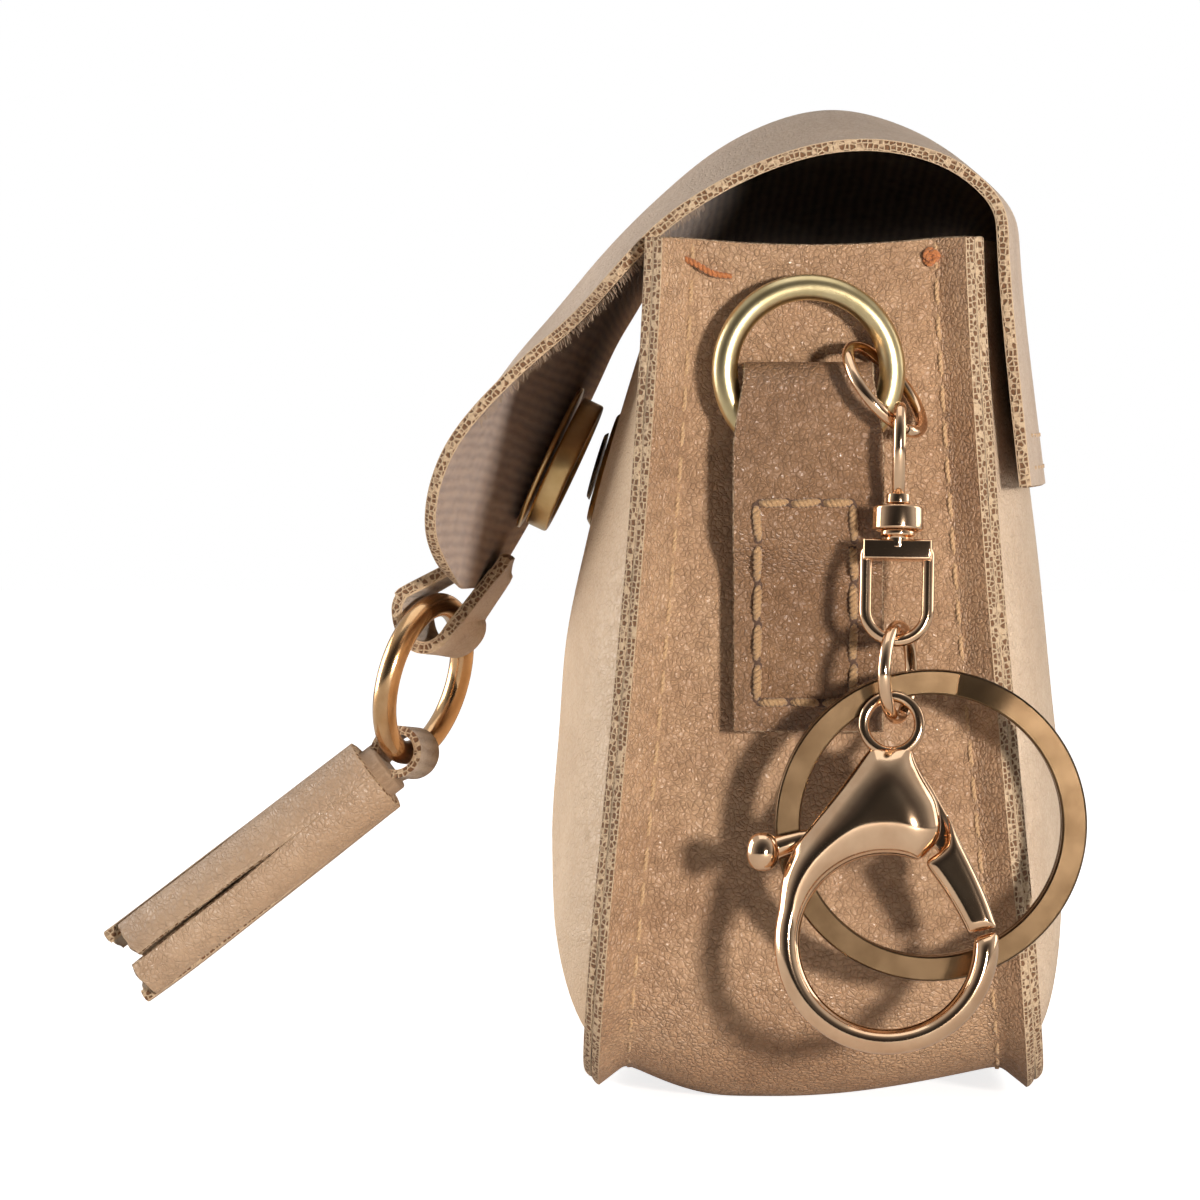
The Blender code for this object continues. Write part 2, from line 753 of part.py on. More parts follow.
clasp_from_link = Vector((1.0, -0.6, -4.57)) * mm
clasp_place = lower_link_place + clasp_from_link
clasp_lean = math.radians(9.0)
hook_centre = (-0.5 * mm, -20.8 * mm)
hook_outer = 10.7 * mm
hook_inner = 8.3 * mm
clasp_thickness = 2.8 * mm
clasp_edge = 0.7 * mm
eye_thickness = 1.4 * mm
eye_outer = 3.2 * mm
eye_hole = 2.15 * mm
gate_pin = (2.2 * mm, -8.2 * mm)
pin_radius = 0.6 * mm
pin_head = 1.2 * mm
pin_cap = 0.4 * mm
pin_front_wall = 0.6 * mm
shoulder = [(2.3 * mm, -3.5 * mm), (4.4 * mm, -7.4 * mm), (4.75 * mm, -10.1 * mm), (4.2 * mm, -11.7 * mm)]
flank = [(-3.0 * mm, -3.5 * mm), (-5.1 * mm, -6.4 * mm), (-7.5 * mm, -9.5 * mm), (-9.3 * mm, -11.9 * mm),
         (-10.4 * mm, -14.6 * mm)]
neck_half_width = 1.8 * mm
neck_top = -2.5 * mm
hook_start_turn = math.radians(164.0)
shoulder_turn = math.radians(68.0)
hook_tip_turn = math.radians(3.0)
hook_tip_slant = math.radians(3.0)
gate_end_gap = math.radians(3.5)
gate_top_turn = math.radians(55.0)
clasp_steps = 22
edge_match_share = 0.1


def on_hook(radius, turn):
    return (hook_centre[0] + radius * math.cos(turn), hook_centre[1] + radius * math.sin(turn))


def arc(radius, start, end, steps):
    return [on_hook(radius, start + (end - start) * i / steps) for i in range(steps + 1)]


def plate(outline, thickness):
    """An outline in the Y and Z plane given a thickness along X, centred."""
    half = thickness / 2
    rings = [[Vector((x, y, z)) for y, z in outline] for x in (-half, half)]
    return loft(rings)


def rounded_plate(outline, thickness, edge):
    """A plate whose edges are rolled by a bevel."""
    bm = plate(outline, thickness)
    rim = [e for e in bm.edges if abs(e.verts[0].co.x - e.verts[1].co.x) < edge * edge_match_share]
    bmesh.ops.bevel(bm, geom=rim, offset=edge, segments=2, affect="EDGES", profile=0.6)
    return bm


def make_clasp(body, gate_body):
    tip = 2 * math.pi + hook_tip_turn
    outline = [(neck_half_width, neck_top), (-neck_half_width, neck_top)] + flank
    outline = outline + arc(hook_outer, hook_start_turn, tip + hook_tip_slant, clasp_steps)
    outline = outline + arc(hook_inner, tip, shoulder_turn, clasp_steps)
    outline = outline + shoulder[::-1]
    hook = add("clasp_body", rounded_plate(outline, clasp_thickness, clasp_edge), metal("clasp_body", "rose"),
               clasp_place, body)
    eye = turned_tube([(eye_hole, -eye_thickness / 2), (eye_outer, -eye_thickness / 2),
                       (eye_outer, eye_thickness / 2), (eye_hole, eye_thickness / 2)], 24)
    ring = add("clasp_eye", eye, metal("clasp_eye", "rose"), clasp_place, body)
    ring.rotation_euler = (0, math.radians(90), 0)
    boolean(hook, ring, "UNION")
    pin_place = clasp_place + Vector((0, gate_pin[0], gate_pin[1]))
    drill_end = clasp_thickness / 2 - pin_front_wall
    drill_place = pin_place + Vector((drill_end - clasp_thickness, 0, 0))
    drill = cutter("clasp_pin_drill", pin_radius + seat_gap, 2 * clasp_thickness, drill_place, body)
    boolean(hook, drill, "DIFFERENCE")
    pocket_place = pin_place - Vector((clasp_thickness / 2, 0, 0))
    pocket_radius = spring_radius + 2 * spring_wire + seat_gap
    boolean(hook, cutter("clasp_spring_pocket", pocket_radius, spring_depth, pocket_place, body), "DIFFERENCE")
    make_gate(gate_body, pin_place)
    make_pin(body, pin_place)
    make_spring(body, pin_place)


def cutter(name, radius, length, place, parent):
    """A hidden round bar along X that drills a hole or joins two pieces."""
    bm = bmesh.new()
    bmesh.ops.create_cone(bm, cap_ends=True, segments=20, radius1=radius, radius2=radius, depth=length)
    made = add(name, bm, metal(name, "rose"), place, parent)
    made.rotation_euler = (0, math.radians(90), 0)
    made.hide_render = True
    made.display_type = "WIRE"
    return made


spring_radius = 1.25 * mm
spring_wire = 0.2 * mm
spring_depth = 2.4 * mm
spring_turns_share = 1.6
spring_steps = 30
gate_thickness = 2.0 * mm
gate_edge = 0.4 * mm
gate_outer_gap = 0.1 * mm
gate_inner_gap = 0.3 * mm
gate_steps = 10
lever_thickness = 0.8 * mm
lever_edge = 0.2 * mm
lever_gap = 0.25 * mm
lever_x = -(clasp_thickness / 2 + lever_gap + lever_thickness / 2)
lever_end_half = 0.7 * mm
lever_foot_turn = math.radians(14.0)
lever_top_corners = [(-2.6 * mm, 1.2 * mm), (0.0, 2.2 * mm), (1.8 * mm, 1.6 * mm)]
lever_low_corners = [(0.8 * mm, -1.9 * mm), (-2.4 * mm, -1.4 * mm)]
lever_head_out = 1.4 * mm
lever_head_down = 1.2 * mm
lever_foot_out = 0.9 * mm
bridge_radius = 0.9 * mm
bridge_inset = 1.3 * mm
bridge_turn = math.radians(9.0)
bridge_overlap = 0.25 * mm
knob_place = (-12.3 * mm, -12.2 * mm)
knob_radius = 1.5 * mm
knob_round_share = 0.7


def lever_outline(shift):
    """The lever plate seen flat, from the pin: knob end, over the pin, down to the gate and back."""
    head = on_hook(hook_outer, gate_top_turn)
    foot = on_hook(hook_inner + gate_inner_gap, gate_top_turn - lever_foot_turn)
    knob_y = knob_place[0] - shift.y
    knob_z = knob_place[1] - shift.z
    outline = [(knob_y, knob_z + lever_end_half)] + lever_top_corners
    outline.append((head[0] - shift.y + lever_head_out, head[1] - shift.z - lever_head_down))
    outline.append((foot[0] - shift.y + lever_foot_out, foot[1] - shift.z))
    return outline + lever_low_corners + [(knob_y, knob_z - lever_end_half)]


def make_gate(body, pin_place):
    """The gate bar in the plane of the hook, the lever plate behind the body and the knob at its end."""
    shift = pin_place - clasp_place
    low_turn = hook_tip_turn + gate_end_gap
    bar = arc(hook_outer - gate_outer_gap, low_turn + hook_tip_slant, gate_top_turn, gate_steps)
    bar = bar + arc(hook_inner + gate_inner_gap, gate_top_turn, low_turn, gate_steps)
    bar = [(y - shift.y, z - shift.z) for y, z in bar]
    gate = add("clasp_gate", rounded_plate(bar, gate_thickness, gate_edge), metal("clasp_gate", "rose"),
               pin_place, body)
    blade = add("clasp_lever", rounded_plate(lever_outline(shift), lever_thickness, lever_edge),
                metal("clasp_lever", "rose"), pin_place + Vector((lever_x, 0, 0)), body)
    boolean(gate, blade, "UNION")
    bridge_y, bridge_z = on_hook(hook_outer - bridge_inset, gate_top_turn - bridge_turn)
    bridge_x = lever_x / 2 - gate_thickness / 4
    bridge_place = clasp_place + Vector((bridge_x, bridge_y, bridge_z))
    bridge = cutter("clasp_gate_bridge", bridge_radius, bridge_overlap - lever_x, bridge_place, body)
    boolean(gate, bridge, "UNION")
    round_radius = knob_radius * knob_round_share
    ball = turned([(0, -knob_radius), (round_radius, -round_radius), (knob_radius, 0), (round_radius, round_radius),
                   (0, knob_radius)], 14)
    knob = add("clasp_knob", ball, metal("clasp_knob", "rose"),
               clasp_place + Vector((lever_x + knob_radius / 2, knob_place[0], knob_place[1])), body)
    boolean(gate, knob, "UNION")
    drill_place = pin_place + Vector((lever_x, 0, 0))
    boolean(gate, cutter("clasp_lever_drill", pin_radius + seat_gap, 6 * lever_thickness, drill_place, body),
            "DIFFERENCE")


def make_pin(body, pin_place):
    """A headed pin set from behind through the lever into the body, whose front stays smooth."""
    front = clasp_thickness / 2 - pin_front_wall - seat_gap
    back = lever_x - lever_thickness / 2 - seat_gap
    pin = turned([(0, back - pin_cap), (pin_head, back - pin_cap), (pin_head, back), (pin_radius, back),
                  (pin_radius, front), (0, front)], 16)
    made = add("clasp_pivot_pin", pin, metal("clasp_pivot_pin", "rose"), pin_place, body)
    made.rotation_euler = (0, math.radians(90), 0)


def make_spring(body, pin_place):
    """Spring wire wound round the pin, in a pocket of the body behind the lever."""
    start = -clasp_thickness / 2 + 2 * spring_wire
    room = spring_depth / 2 - 4 * spring_wire
    path = []
    for i in range(spring_steps + 1):
        share = i / spring_steps
        turn = 2 * math.pi * spring_turns_share * share
        path.append(Vector((start + room * share, spring_radius * math.cos(turn), spring_radius * math.sin(turn))))
    coil = sweep(path, spring_wire, spring_wire, (1, 0, 0), 6)
    bmesh.ops.triangulate(coil, faces=coil.faces[:])
    add("clasp_spring", coil, metal("clasp_spring", "steel"), pin_place, body)


# The flat split key ring

keys_from_link = Vector((-1.35, 3.2, -14.37)) * mm
key_ring_place = lower_link_place + keys_from_link
key_ring_outer = 15.0 * mm
key_ring_inner = 12.6 * mm
key_ring_turn_thickness = 1.05 * mm
key_ring_turn_gap = 0.15 * mm
key_ring_end_turn = math.radians(74.0)
key_ring_steps = 76
crossing_share = 0.47
crossing_length_share = 0.06
wound_share = 0.992


def make_key_ring(body):
    """A flat split ring: one strip wound twice, its two turns side by side but for the step."""
    pitch = key_ring_turn_thickness + key_ring_turn_gap
    half = key_ring_turn_thickness / 2
    section = ((key_ring_inner, -half), (key_ring_outer, -half), (key_ring_outer, half), (key_ring_inner, half))
    rings = []
    for i in range(key_ring_steps + 1):
        share = i / key_ring_steps
        turn = key_ring_end_turn - 4 * math.pi * share * wound_share
        x = pitch * (smooth((share - crossing_share) / crossing_length_share) - 0.5)
        ring = [Vector((x + deep, radius * math.cos(turn), radius * math.sin(turn))) for radius, deep in section]
        rings.append(ring)
    wound = loft(rings)
    bmesh.ops.triangulate(wound, faces=wound.faces[:])
    add("key_ring", wound, metal("key_ring", "antique"), key_ring_place, body)


# The tassel at the tip of the flap, its places counted from the tip

tip_place = flap_point(1.0, 0.5)
tip_along = (tip_place - flap_point(0.93, 0.5)).normalized()
tip_ring_radius = 8.2 * mm
tip_ring_from_tip = Vector((0, -5.6, -10.0)) * mm
tip_ring_place = tip_place + tip_ring_from_tip
tip_ring_lean = math.radians(14.4)
tip_ring_turn = math.radians(23.0)
tip_tab_half_width = 3.8 * mm
tip_tab_drop = 3.5 * mm
tip_tab_grip = 4.2 * mm
tip_tab_ease = 0.3 * mm
tip_ring_room = 0.85 * mm
grip_end_share = 0.4
tip_tab_steps = 10
tip_tab_twist_share = 2.2
tassel_direction = Vector((0, -0.79, -0.613)).normalized()
tassel_length = 32.5 * mm
tassel_radius = 3.6 * mm
loop_half_width = 2.2 * mm
loop_thickness = 0.9 * mm
loop_end_half_gap = 0.75 * mm
loop_ease_share = 0.6
loop_neck_share = 1.9
loop_opening = math.radians(38.0)
loop_steps = 14


def tip_ring_directions():
    down = Vector((0, -math.sin(tip_ring_lean), -math.cos(tip_ring_lean)))
    left = Vector((0, -math.cos(tip_ring_lean), math.sin(tip_ring_lean)))
    return down, Vector((1, 0, 0)) * math.cos(tip_ring_turn) + left * math.sin(tip_ring_turn)


def make_tip_tab(turning):
    """A strap loop that grips the tip of the flap from both sides and holds the ring."""
    out = Vector((0, tip_along.z, -tip_along.y))
    seat = (flap_thickness + leaf_thickness) / 2 + seat_gap + tip_tab_ease
    down, near = tip_ring_directions()
    bar = tip_ring_place - down * tip_ring_radius
    wide = wire_heavy + seat_gap + leaf_thickness / 2 + tip_ring_room
    deep = wire_heavy + tip_tab_drop
    grip = [tip_place - tip_along * tip_tab_grip + out * seat,
            tip_place - tip_along * (tip_tab_grip * grip_end_share) + out * seat]
    path = list(grip)
    for i in range(tip_tab_steps + 1):
        turn = math.pi * i / tip_tab_steps
        path.append(bar + out * (wide * math.cos(turn)) + down * (deep * math.sin(turn)))
    path = path + [p - out * (2 * seat) for p in reversed(grip)]
    shifted = [p - turning.location for p in path]

    def across(share):
        twist = smooth(tip_tab_twist_share * (1 - abs(2 * share - 1)))
        return Vector((1, 0, 0)).lerp(near, twist).normalized()

    add("tassel_tab", strap(shifted, tip_tab_half_width, leaf_thickness, across), leatherette("tassel_tab"),
        turning.location, turning, smooth=False)


def make_tip_ring(body):
    down, near = tip_ring_directions()
    ring = wire_ring(tip_ring_radius, wire_heavy, down, near, 36, 10)
    add("tassel_ring", ring, metal("tassel_ring", "champagne"), tip_ring_place, body)


skirt_steps = 18
head_start_share = 0.75
head_round_share = 0.92
skirt_round_share = 0.95
head_length_share = 0.03
slit_start_share = 0.3
core_end_share = 0.34
fringe_count = 5
fringe_first_turn = 0.4
fringe_half_turn = math.radians(33.0)
fringe_thickness = 1.5 * mm
fringe_shorter_share = 0.05
fringe_start_share = 0.2
fringe_rows = 4
fringe_columns = 3
fringe_in_share = 0.96
fringe_out_share = 0.06


def make_tassel(body):
    """A narrow leather loop on the ring, and under it the rolled skirt with its slits."""
    down, near = tip_ring_directions()
    hook = body.location
    side = tassel_direction.cross(near).normalized()
    inner = wire_heavy + 2 * seat_gap + loop_thickness * loop_ease_share
    path = []
    for i in range(loop_steps + 1):
        turn = loop_opening + (2 * math.pi - 2 * loop_opening) * i / loop_steps
        path.append(tassel_direction * (inner * math.cos(turn)) + side * (inner * math.sin(turn)))
    neck = inner * loop_neck_share
    ends = [tassel_direction * neck + side * loop_end_half_gap, tassel_direction * neck - side * loop_end_half_gap]
    path = [ends[0]] + path + [ends[1]]
    add("tassel_loop", strap(path, loop_half_width, loop_thickness, near), leatherette("tassel_loop"), hook, body,
        smooth=False)
    start = hook + tassel_direction * (neck + 2 * seat_gap)
    skirt = turned([(0, 0), (tassel_radius * head_start_share, 0),
                    (tassel_radius * head_round_share, tassel_length * head_length_share),
                    (tassel_radius * skirt_round_share, tassel_length * slit_start_share),
                    (0, tassel_length * core_end_share)], skirt_steps)
    head = add("tassel_skirt", skirt, leatherette("tassel_skirt"), start, body)
    aim(head, tassel_direction)
    for k in range(fringe_count):
        turn = 2 * math.pi * k / fringe_count + fringe_first_turn
        length = tassel_length * (1 - fringe_shorter_share * (k % 3))
        name = "tassel_fringe_%d" % k
        fringe = add(name, fringe_mesh(turn, length), leatherette(name), start, body)
        aim(fringe, tassel_direction)
        boolean(head, fringe, "UNION")


def fringe_mesh(turn, length):
    """One strip of the skirt: a curved slice of the roll from its head to its end."""
    rings = []
    turns = [turn + fringe_half_turn * (2 * k / fringe_columns - 1) for k in range(fringe_columns + 1)]
    for i in range(fringe_rows + 1):
        share = i / fringe_rows
        outer = tassel_radius * (fringe_in_share + fringe_out_share * share)
        inner = outer - fringe_thickness
        height = length * (fringe_start_share + (1 - fringe_start_share) * share)
        ring = [Vector((outer * math.cos(at), outer * math.sin(at), height)) for at in turns]
        ring = ring + [Vector((inner * math.cos(at), inner * math.sin(at), height)) for at in reversed(turns)]
        rings.append(ring)
    return loft(rings)


def build():
    make_shell()
    flap = pivot("flap_hinge", (0, back_y(0, hinge_height) + leather / 2 + flap_thickness, hinge_height))
    make_flap(flap)
    make_flap_snap(flap)
    make_front_snap()
    make_side_tab()
    make_side_ring(pivot("side_ring_slide", side_ring_place))
    make_upper_link(pivot("upper_link_hinge", upper_link_place))
    make_swivel_eye(pivot("swivel_hinge", swivel_top))
    make_swivel_body(pivot("swivel_turn", along_chain(drum_start)))
    make_lower_link(pivot("lower_link_hinge", bail_bottom))
    clasp = pivot("clasp_hinge", clasp_place)
    gate = pivot("gate_hinge", clasp_place + Vector((0, gate_pin[0], gate_pin[1])), clasp)
    make_clasp(clasp, gate)
    clasp.rotation_euler = (0, -clasp_lean, 0)
    make_key_ring(pivot("key_ring_hinge", lower_link_place))
    make_tip_tab(flap)
    down, near = tip_ring_directions()
    make_tip_ring(pivot("tassel_ring_hinge", tip_ring_place - down * tip_ring_radius))
    make_tassel(pivot("tassel_hinge", tip_ring_place + down * tip_ring_radius))


build()
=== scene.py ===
# Carabiner mini pouch, dressed for its portrait.
# A small pebbled pouch with a snap flap, a tassel at its tip, and a chain with a lobster clasp
# and a split key ring on the side that faces the camera.
import bpy
import bmesh
import math
import random
from mathutils import Euler, Matrix, Vector, noise


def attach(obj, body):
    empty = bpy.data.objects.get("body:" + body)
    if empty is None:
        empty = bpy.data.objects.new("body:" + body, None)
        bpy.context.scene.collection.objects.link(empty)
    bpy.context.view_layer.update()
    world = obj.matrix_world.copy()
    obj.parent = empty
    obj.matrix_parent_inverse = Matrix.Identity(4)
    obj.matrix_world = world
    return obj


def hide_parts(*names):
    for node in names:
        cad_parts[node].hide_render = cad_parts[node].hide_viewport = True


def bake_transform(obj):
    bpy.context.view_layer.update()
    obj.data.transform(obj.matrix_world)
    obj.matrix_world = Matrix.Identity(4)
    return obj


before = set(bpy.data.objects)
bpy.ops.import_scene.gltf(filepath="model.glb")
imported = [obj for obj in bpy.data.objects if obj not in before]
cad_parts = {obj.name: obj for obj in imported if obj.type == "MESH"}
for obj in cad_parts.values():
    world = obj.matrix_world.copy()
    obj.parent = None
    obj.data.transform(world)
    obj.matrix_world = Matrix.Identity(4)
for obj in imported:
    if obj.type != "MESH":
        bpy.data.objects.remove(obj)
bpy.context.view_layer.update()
mm = 0.001
uvPerMetre = 10


# Shape helpers

def smooth(share):
    share = min(max(share, 0.0), 1.0)
    return share * share * (3 - 2 * share)


def mixed(a, b, share):
    return a + (b - a) * share


def curveThrough(knots, share):
    spans = len(knots) - 1
    at = share * spans
    i = min(int(at), spans - 1)
    f = at - i
    p1, p2 = Vector(knots[i]), Vector(knots[i + 1])
    p0 = Vector(knots[i - 1]) if i else 2 * p1 - p2
    p3 = Vector(knots[i + 2]) if i + 2 <= spans else 2 * p2 - p1
    a, b = (p2 - p0) / 2, (p3 - p1) / 2
    ff, fff = f * f, f * f * f
    return p1 * (2 * fff - 3 * ff + 1) + a * (fff - 2 * ff + f) + p2 * (3 * ff - 2 * fff) + b * (fff - ff)


# soft noise between -1 and 1; size is how wide one lump is
def wobble(point, size, seed=0.0):
    return noise.noise(Vector(point) / size + Vector((seed, seed * 1.7, seed * 0.3)))


def objectFrom(name, bm, materials, smoothShade=True, sharp=40):
    mesh = bpy.data.meshes.new(name)
    bm.to_mesh(mesh)
    bm.free()
    if smoothShade:
        mesh.shade_smooth()
        mesh.set_sharp_from_angle(angle=math.radians(sharp))
    for material in materials:
        mesh.materials.append(material)
    piece = bpy.data.objects.new(name, mesh)
    bpy.context.collection.objects.link(piece)
    return piece


def dressed(piece, body):
    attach(piece, body)
    return piece


def standIn(piece, node, body):
    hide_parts(node)
    return dressed(piece, body)


def turned(bm, turn, place=None):
    bmesh.ops.transform(bm, matrix=turn, verts=bm.verts[:])
    if place is not None:
        bmesh.ops.translate(bm, vec=place, verts=bm.verts[:])
    return bm


# close a sheet's raw edge with a half round from face to back at every stop along the border;
# a stop is its face vertex, back vertex, middle, normal and way out
def closeRawEdge(bm, uvLayer, stops, thickness):
    steps, roll = 4, 0.25
    half = thickness / 2
    count = len(stops)
    rings = []
    travelled = [0.0]
    for k, (face, back, middle, normal, outward) in enumerate(stops):
        travelled.append(travelled[-1] + (stops[(k + 1) % count][2] - middle).length)
        ring = [face]
        for step in range(1, steps):
            across = 1 - 2 * step / steps
            bulge = half * roll * math.sqrt(1 - across ** 2)
            ring.append(bm.verts.new(middle + normal * half * across + outward * bulge))
        rings.append(ring + [back])
    for k in range(count):
        one, two = rings[k], rings[(k + 1) % count]
        for step in range(steps):
            quad = bm.faces.new((one[step], one[step + 1], two[step + 1], two[step]))
            quad.material_index = 2
            spots = ((k, step), (k, step + 1), (k + 1, step + 1), (k + 1, step))
            for loop, (a, b) in zip(quad.loops, spots):
                loop[uvLayer].uv = (travelled[a] * uvPerMetre, thickness * uvPerMetre * b / steps)


# a sheet of real thickness from a grid of middle points: face, back and a rolled raw edge. UVs run in
# real lengths, 1 unit to 100 mm, so that grain and pits keep their size
def sheetFrom(name, rows, thickness, materials):
    bm = bmesh.new()
    uvLayer = bm.loops.layers.uv.new("lengths")
    nRows, nCols = len(rows), len(rows[0])
    normals = []
    for i in range(nRows):
        line = []
        for j in range(nCols):
            down = rows[min(i + 1, nRows - 1)][j] - rows[max(i - 1, 0)][j]
            over = rows[i][min(j + 1, nCols - 1)] - rows[i][max(j - 1, 0)]
            line.append(down.cross(over).normalized())
        normals.append(line)
    lengthsDown = [[0.0] * nCols for _ in range(nRows)]
    lengthsOver = [[0.0] * nCols for _ in range(nRows)]
    for i in range(nRows):
        for j in range(nCols):
            if i:
                lengthsDown[i][j] = lengthsDown[i - 1][j] + (rows[i][j] - rows[i - 1][j]).length
            if j:
                lengthsOver[i][j] = lengthsOver[i][j - 1] + (rows[i][j] - rows[i][j - 1]).length
    middle = nCols // 2
    for i in range(nRows):
        shift = lengthsOver[i][middle]
        lengthsOver[i] = [v - shift for v in lengthsOver[i]]
        lengthsDown[i] = [lengthsDown[i][middle]] * nCols
    half = thickness / 2
    face = [[bm.verts.new(rows[i][j] + normals[i][j] * half) for j in range(nCols)] for i in range(nRows)]
    back = [[bm.verts.new(rows[i][j] - normals[i][j] * half) for j in range(nCols)] for i in range(nRows)]
    for i in range(nRows - 1):
        for j in range(nCols - 1):
            spots = [(i, j), (i, j + 1), (i + 1, j + 1), (i + 1, j)]
            for layer, order, slot in ((face, spots[::-1], 0), (back, spots, 1)):
                quad = bm.faces.new([layer[a][b] for a, b in order])
                quad.material_index = slot
                for loop, (a, b) in zip(quad.loops, order):
                    loop[uvLayer].uv = (lengthsOver[a][b] * uvPerMetre, lengthsDown[a][b] * uvPerMetre)
    border = [(0, j) for j in range(nCols)] + [(i, nCols - 1) for i in range(1, nRows)]
    border += [(nRows - 1, j) for j in range(nCols - 2, -1, -1)] + [(i, 0) for i in range(nRows - 2, 0, -1)]
    stops = []
    for k, (i, j) in enumerate(border):
        a, b = border[k - 1], border[(k + 1) % len(border)]
        along = rows[b[0]][b[1]] - rows[a[0]][a[1]]
        outward = along.cross(normals[i][j]).normalized()
        inner = rows[min(max(i, 1), nRows - 2)][min(max(j, 1), nCols - 2)]
        if outward.dot(rows[i][j] - inner) < 0:
            outward.negate()
        stops.append((face[i][j], back[i][j], rows[i][j], normals[i][j], outward))
    closeRawEdge(bm, uvLayer, stops, thickness)
    bmesh.ops.recalc_face_normals(bm, faces=bm.faces[:])
    return objectFrom(name, bm, materials, sharp=50)


# round the creases of a grid of points a little
def evened(rows, passes, across=True):
    for _ in range(passes):
        fresh = [line[:] for line in rows]
        for i, line in enumerate(rows):
            for j in range(len(line)):
                if across and 0 < j < len(line) - 1:
                    fresh[i][j] = (line[j - 1] + line[j] * 2 + line[j + 1]) / 4
                if not across and 0 < i < len(rows) - 1:
                    fresh[i][j] = (rows[i - 1][j] + rows[i][j] * 2 + rows[i + 1][j]) / 4
        rows = fresh
    return rows


def skin(rings, closed=False):
    bm = bmesh.new()
    uvLayer = bm.loops.layers.uv.new("lengths")
    loops = [[bm.verts.new(p) for p in ring] for ring in rings]
    pairs = [(i, i + 1) for i in range(len(loops) - 1)]
    if closed:
        pairs.append((len(loops) - 1, 0))
    count = len(loops[0])
    for a, b in pairs:
        for k in range(count):
            after = (k + 1) % count
            quad = bm.faces.new((loops[a][k], loops[a][after], loops[b][after], loops[b][k]))
            for loop, uv in zip(quad.loops, ((k, a), (k + 1, a), (k + 1, a + 1), (k, a + 1))):
                loop[uvLayer].uv = (uv[0] / count, uv[1] / len(loops))
    if not closed:
        bm.faces.new(loops[0])
        bm.faces.new(loops[-1])
    bmesh.ops.recalc_face_normals(bm, faces=bm.faces[:])
    return bm


def circle(centre, one, two, radius, sides):
    turns = [2 * math.pi * k / sides for k in range(sides)]
    return [centre + (one * math.cos(t) + two * math.sin(t)) * radius for t in turns]


def tubeRings(path, radius, sides, closed=False):
    rings = []
    count = len(path)
    high = None
    for i, here in enumerate(path):
        before = path[i - 1] if (i or closed) else here
        after = path[(i + 1) % count] if (i < count - 1 or closed) else here
        along = (after - before).normalized()
        if high is None:
            high = along.orthogonal().normalized()
        high = (high - along * high.dot(along)).normalized()
        rings.append(circle(here, high, along.cross(high), radius, sides))
    return rings


# open pipe through rings of points, added to a mesh that already holds others
def pipeInto(bm, rings):
    loops = [[bm.verts.new(p) for p in ring] for ring in rings]
    sides = len(loops[0])
    for a, b in zip(loops, loops[1:]):
        for k in range(sides):
            bm.faces.new((a[k], a[(k + 1) % sides], b[(k + 1) % sides], b[k]))
    return loops


# a round wire ring; with a gap it is an open jump ring whose two ends meet at gapTurn
def wireRing(name, centre, first, second, radius, wire, material, gapTurn=None, gap=0.0, steps=120,
             sides=24):
    first, second = Vector(first), Vector(second)
    closed = gapTurn is None
    start = 0.0 if closed else gapTurn + gap / 2
    sweepTurn = 2 * math.pi - gap
    normal = first.cross(second).normalized()
    rings = []
    for i in range(steps + (0 if closed else 1)):
        t = start + sweepTurn * i / steps
        out = first * math.cos(t) + second * math.sin(t)
        rim = wire
        if not closed:
            rim = wire * (1 - 0.25 * max(0.0, 1 - min(i, steps - i) / 1.5))
        rings.append(circle(centre + out * radius, out, normal, rim, sides))
    return objectFrom(name, skin(rings, closed), [material], sharp=60)


# turn (radius, height) points about Z; a zero radius closes an end
def lathe(profile, steps=64):
    rings = []
    for i in range(steps):
        t = 2 * math.pi * i / steps
        rings.append([Vector((r * math.cos(t), r * math.sin(t), h)) for r, h in profile])
    bm = skin(rings, closed=True)
    bmesh.ops.remove_doubles(bm, verts=bm.verts[:], dist=0.000002)
    bmesh.ops.recalc_face_normals(bm, faces=bm.faces[:])
    return bm


def turnedPiece(name, profile, place, axis, material, steps=64):
    turn = Vector(axis).to_track_quat("Z", "Y").to_matrix().to_4x4()
    return objectFrom(name, turned(lathe(profile, steps), turn, place), [material], sharp=35)


# roll the corners of a closed (radius, height) profile
def roundedProfile(corners, edge, steps=3):
    out = []
    count = len(corners)
    for k in range(count):
        here = Vector((*corners[k], 0))
        before = Vector((*corners[k - 1], 0)) - here
        after = Vector((*corners[(k + 1) % count], 0)) - here
        if here.x < 1e-7 or before.length < 1e-7 or after.length < 1e-7:
            out.append((here.x, here.y))
            continue
        reach = min(edge, before.length * 0.45, after.length * 0.45)
        a = here + before.normalized() * reach
        b = here + after.normalized() * reach
        for s in range(steps + 1):
            f = s / steps
            p = a * (1 - f) ** 2 + here * 2 * f * (1 - f) + b * f ** 2
            out.append((p.x, p.y))
    return out


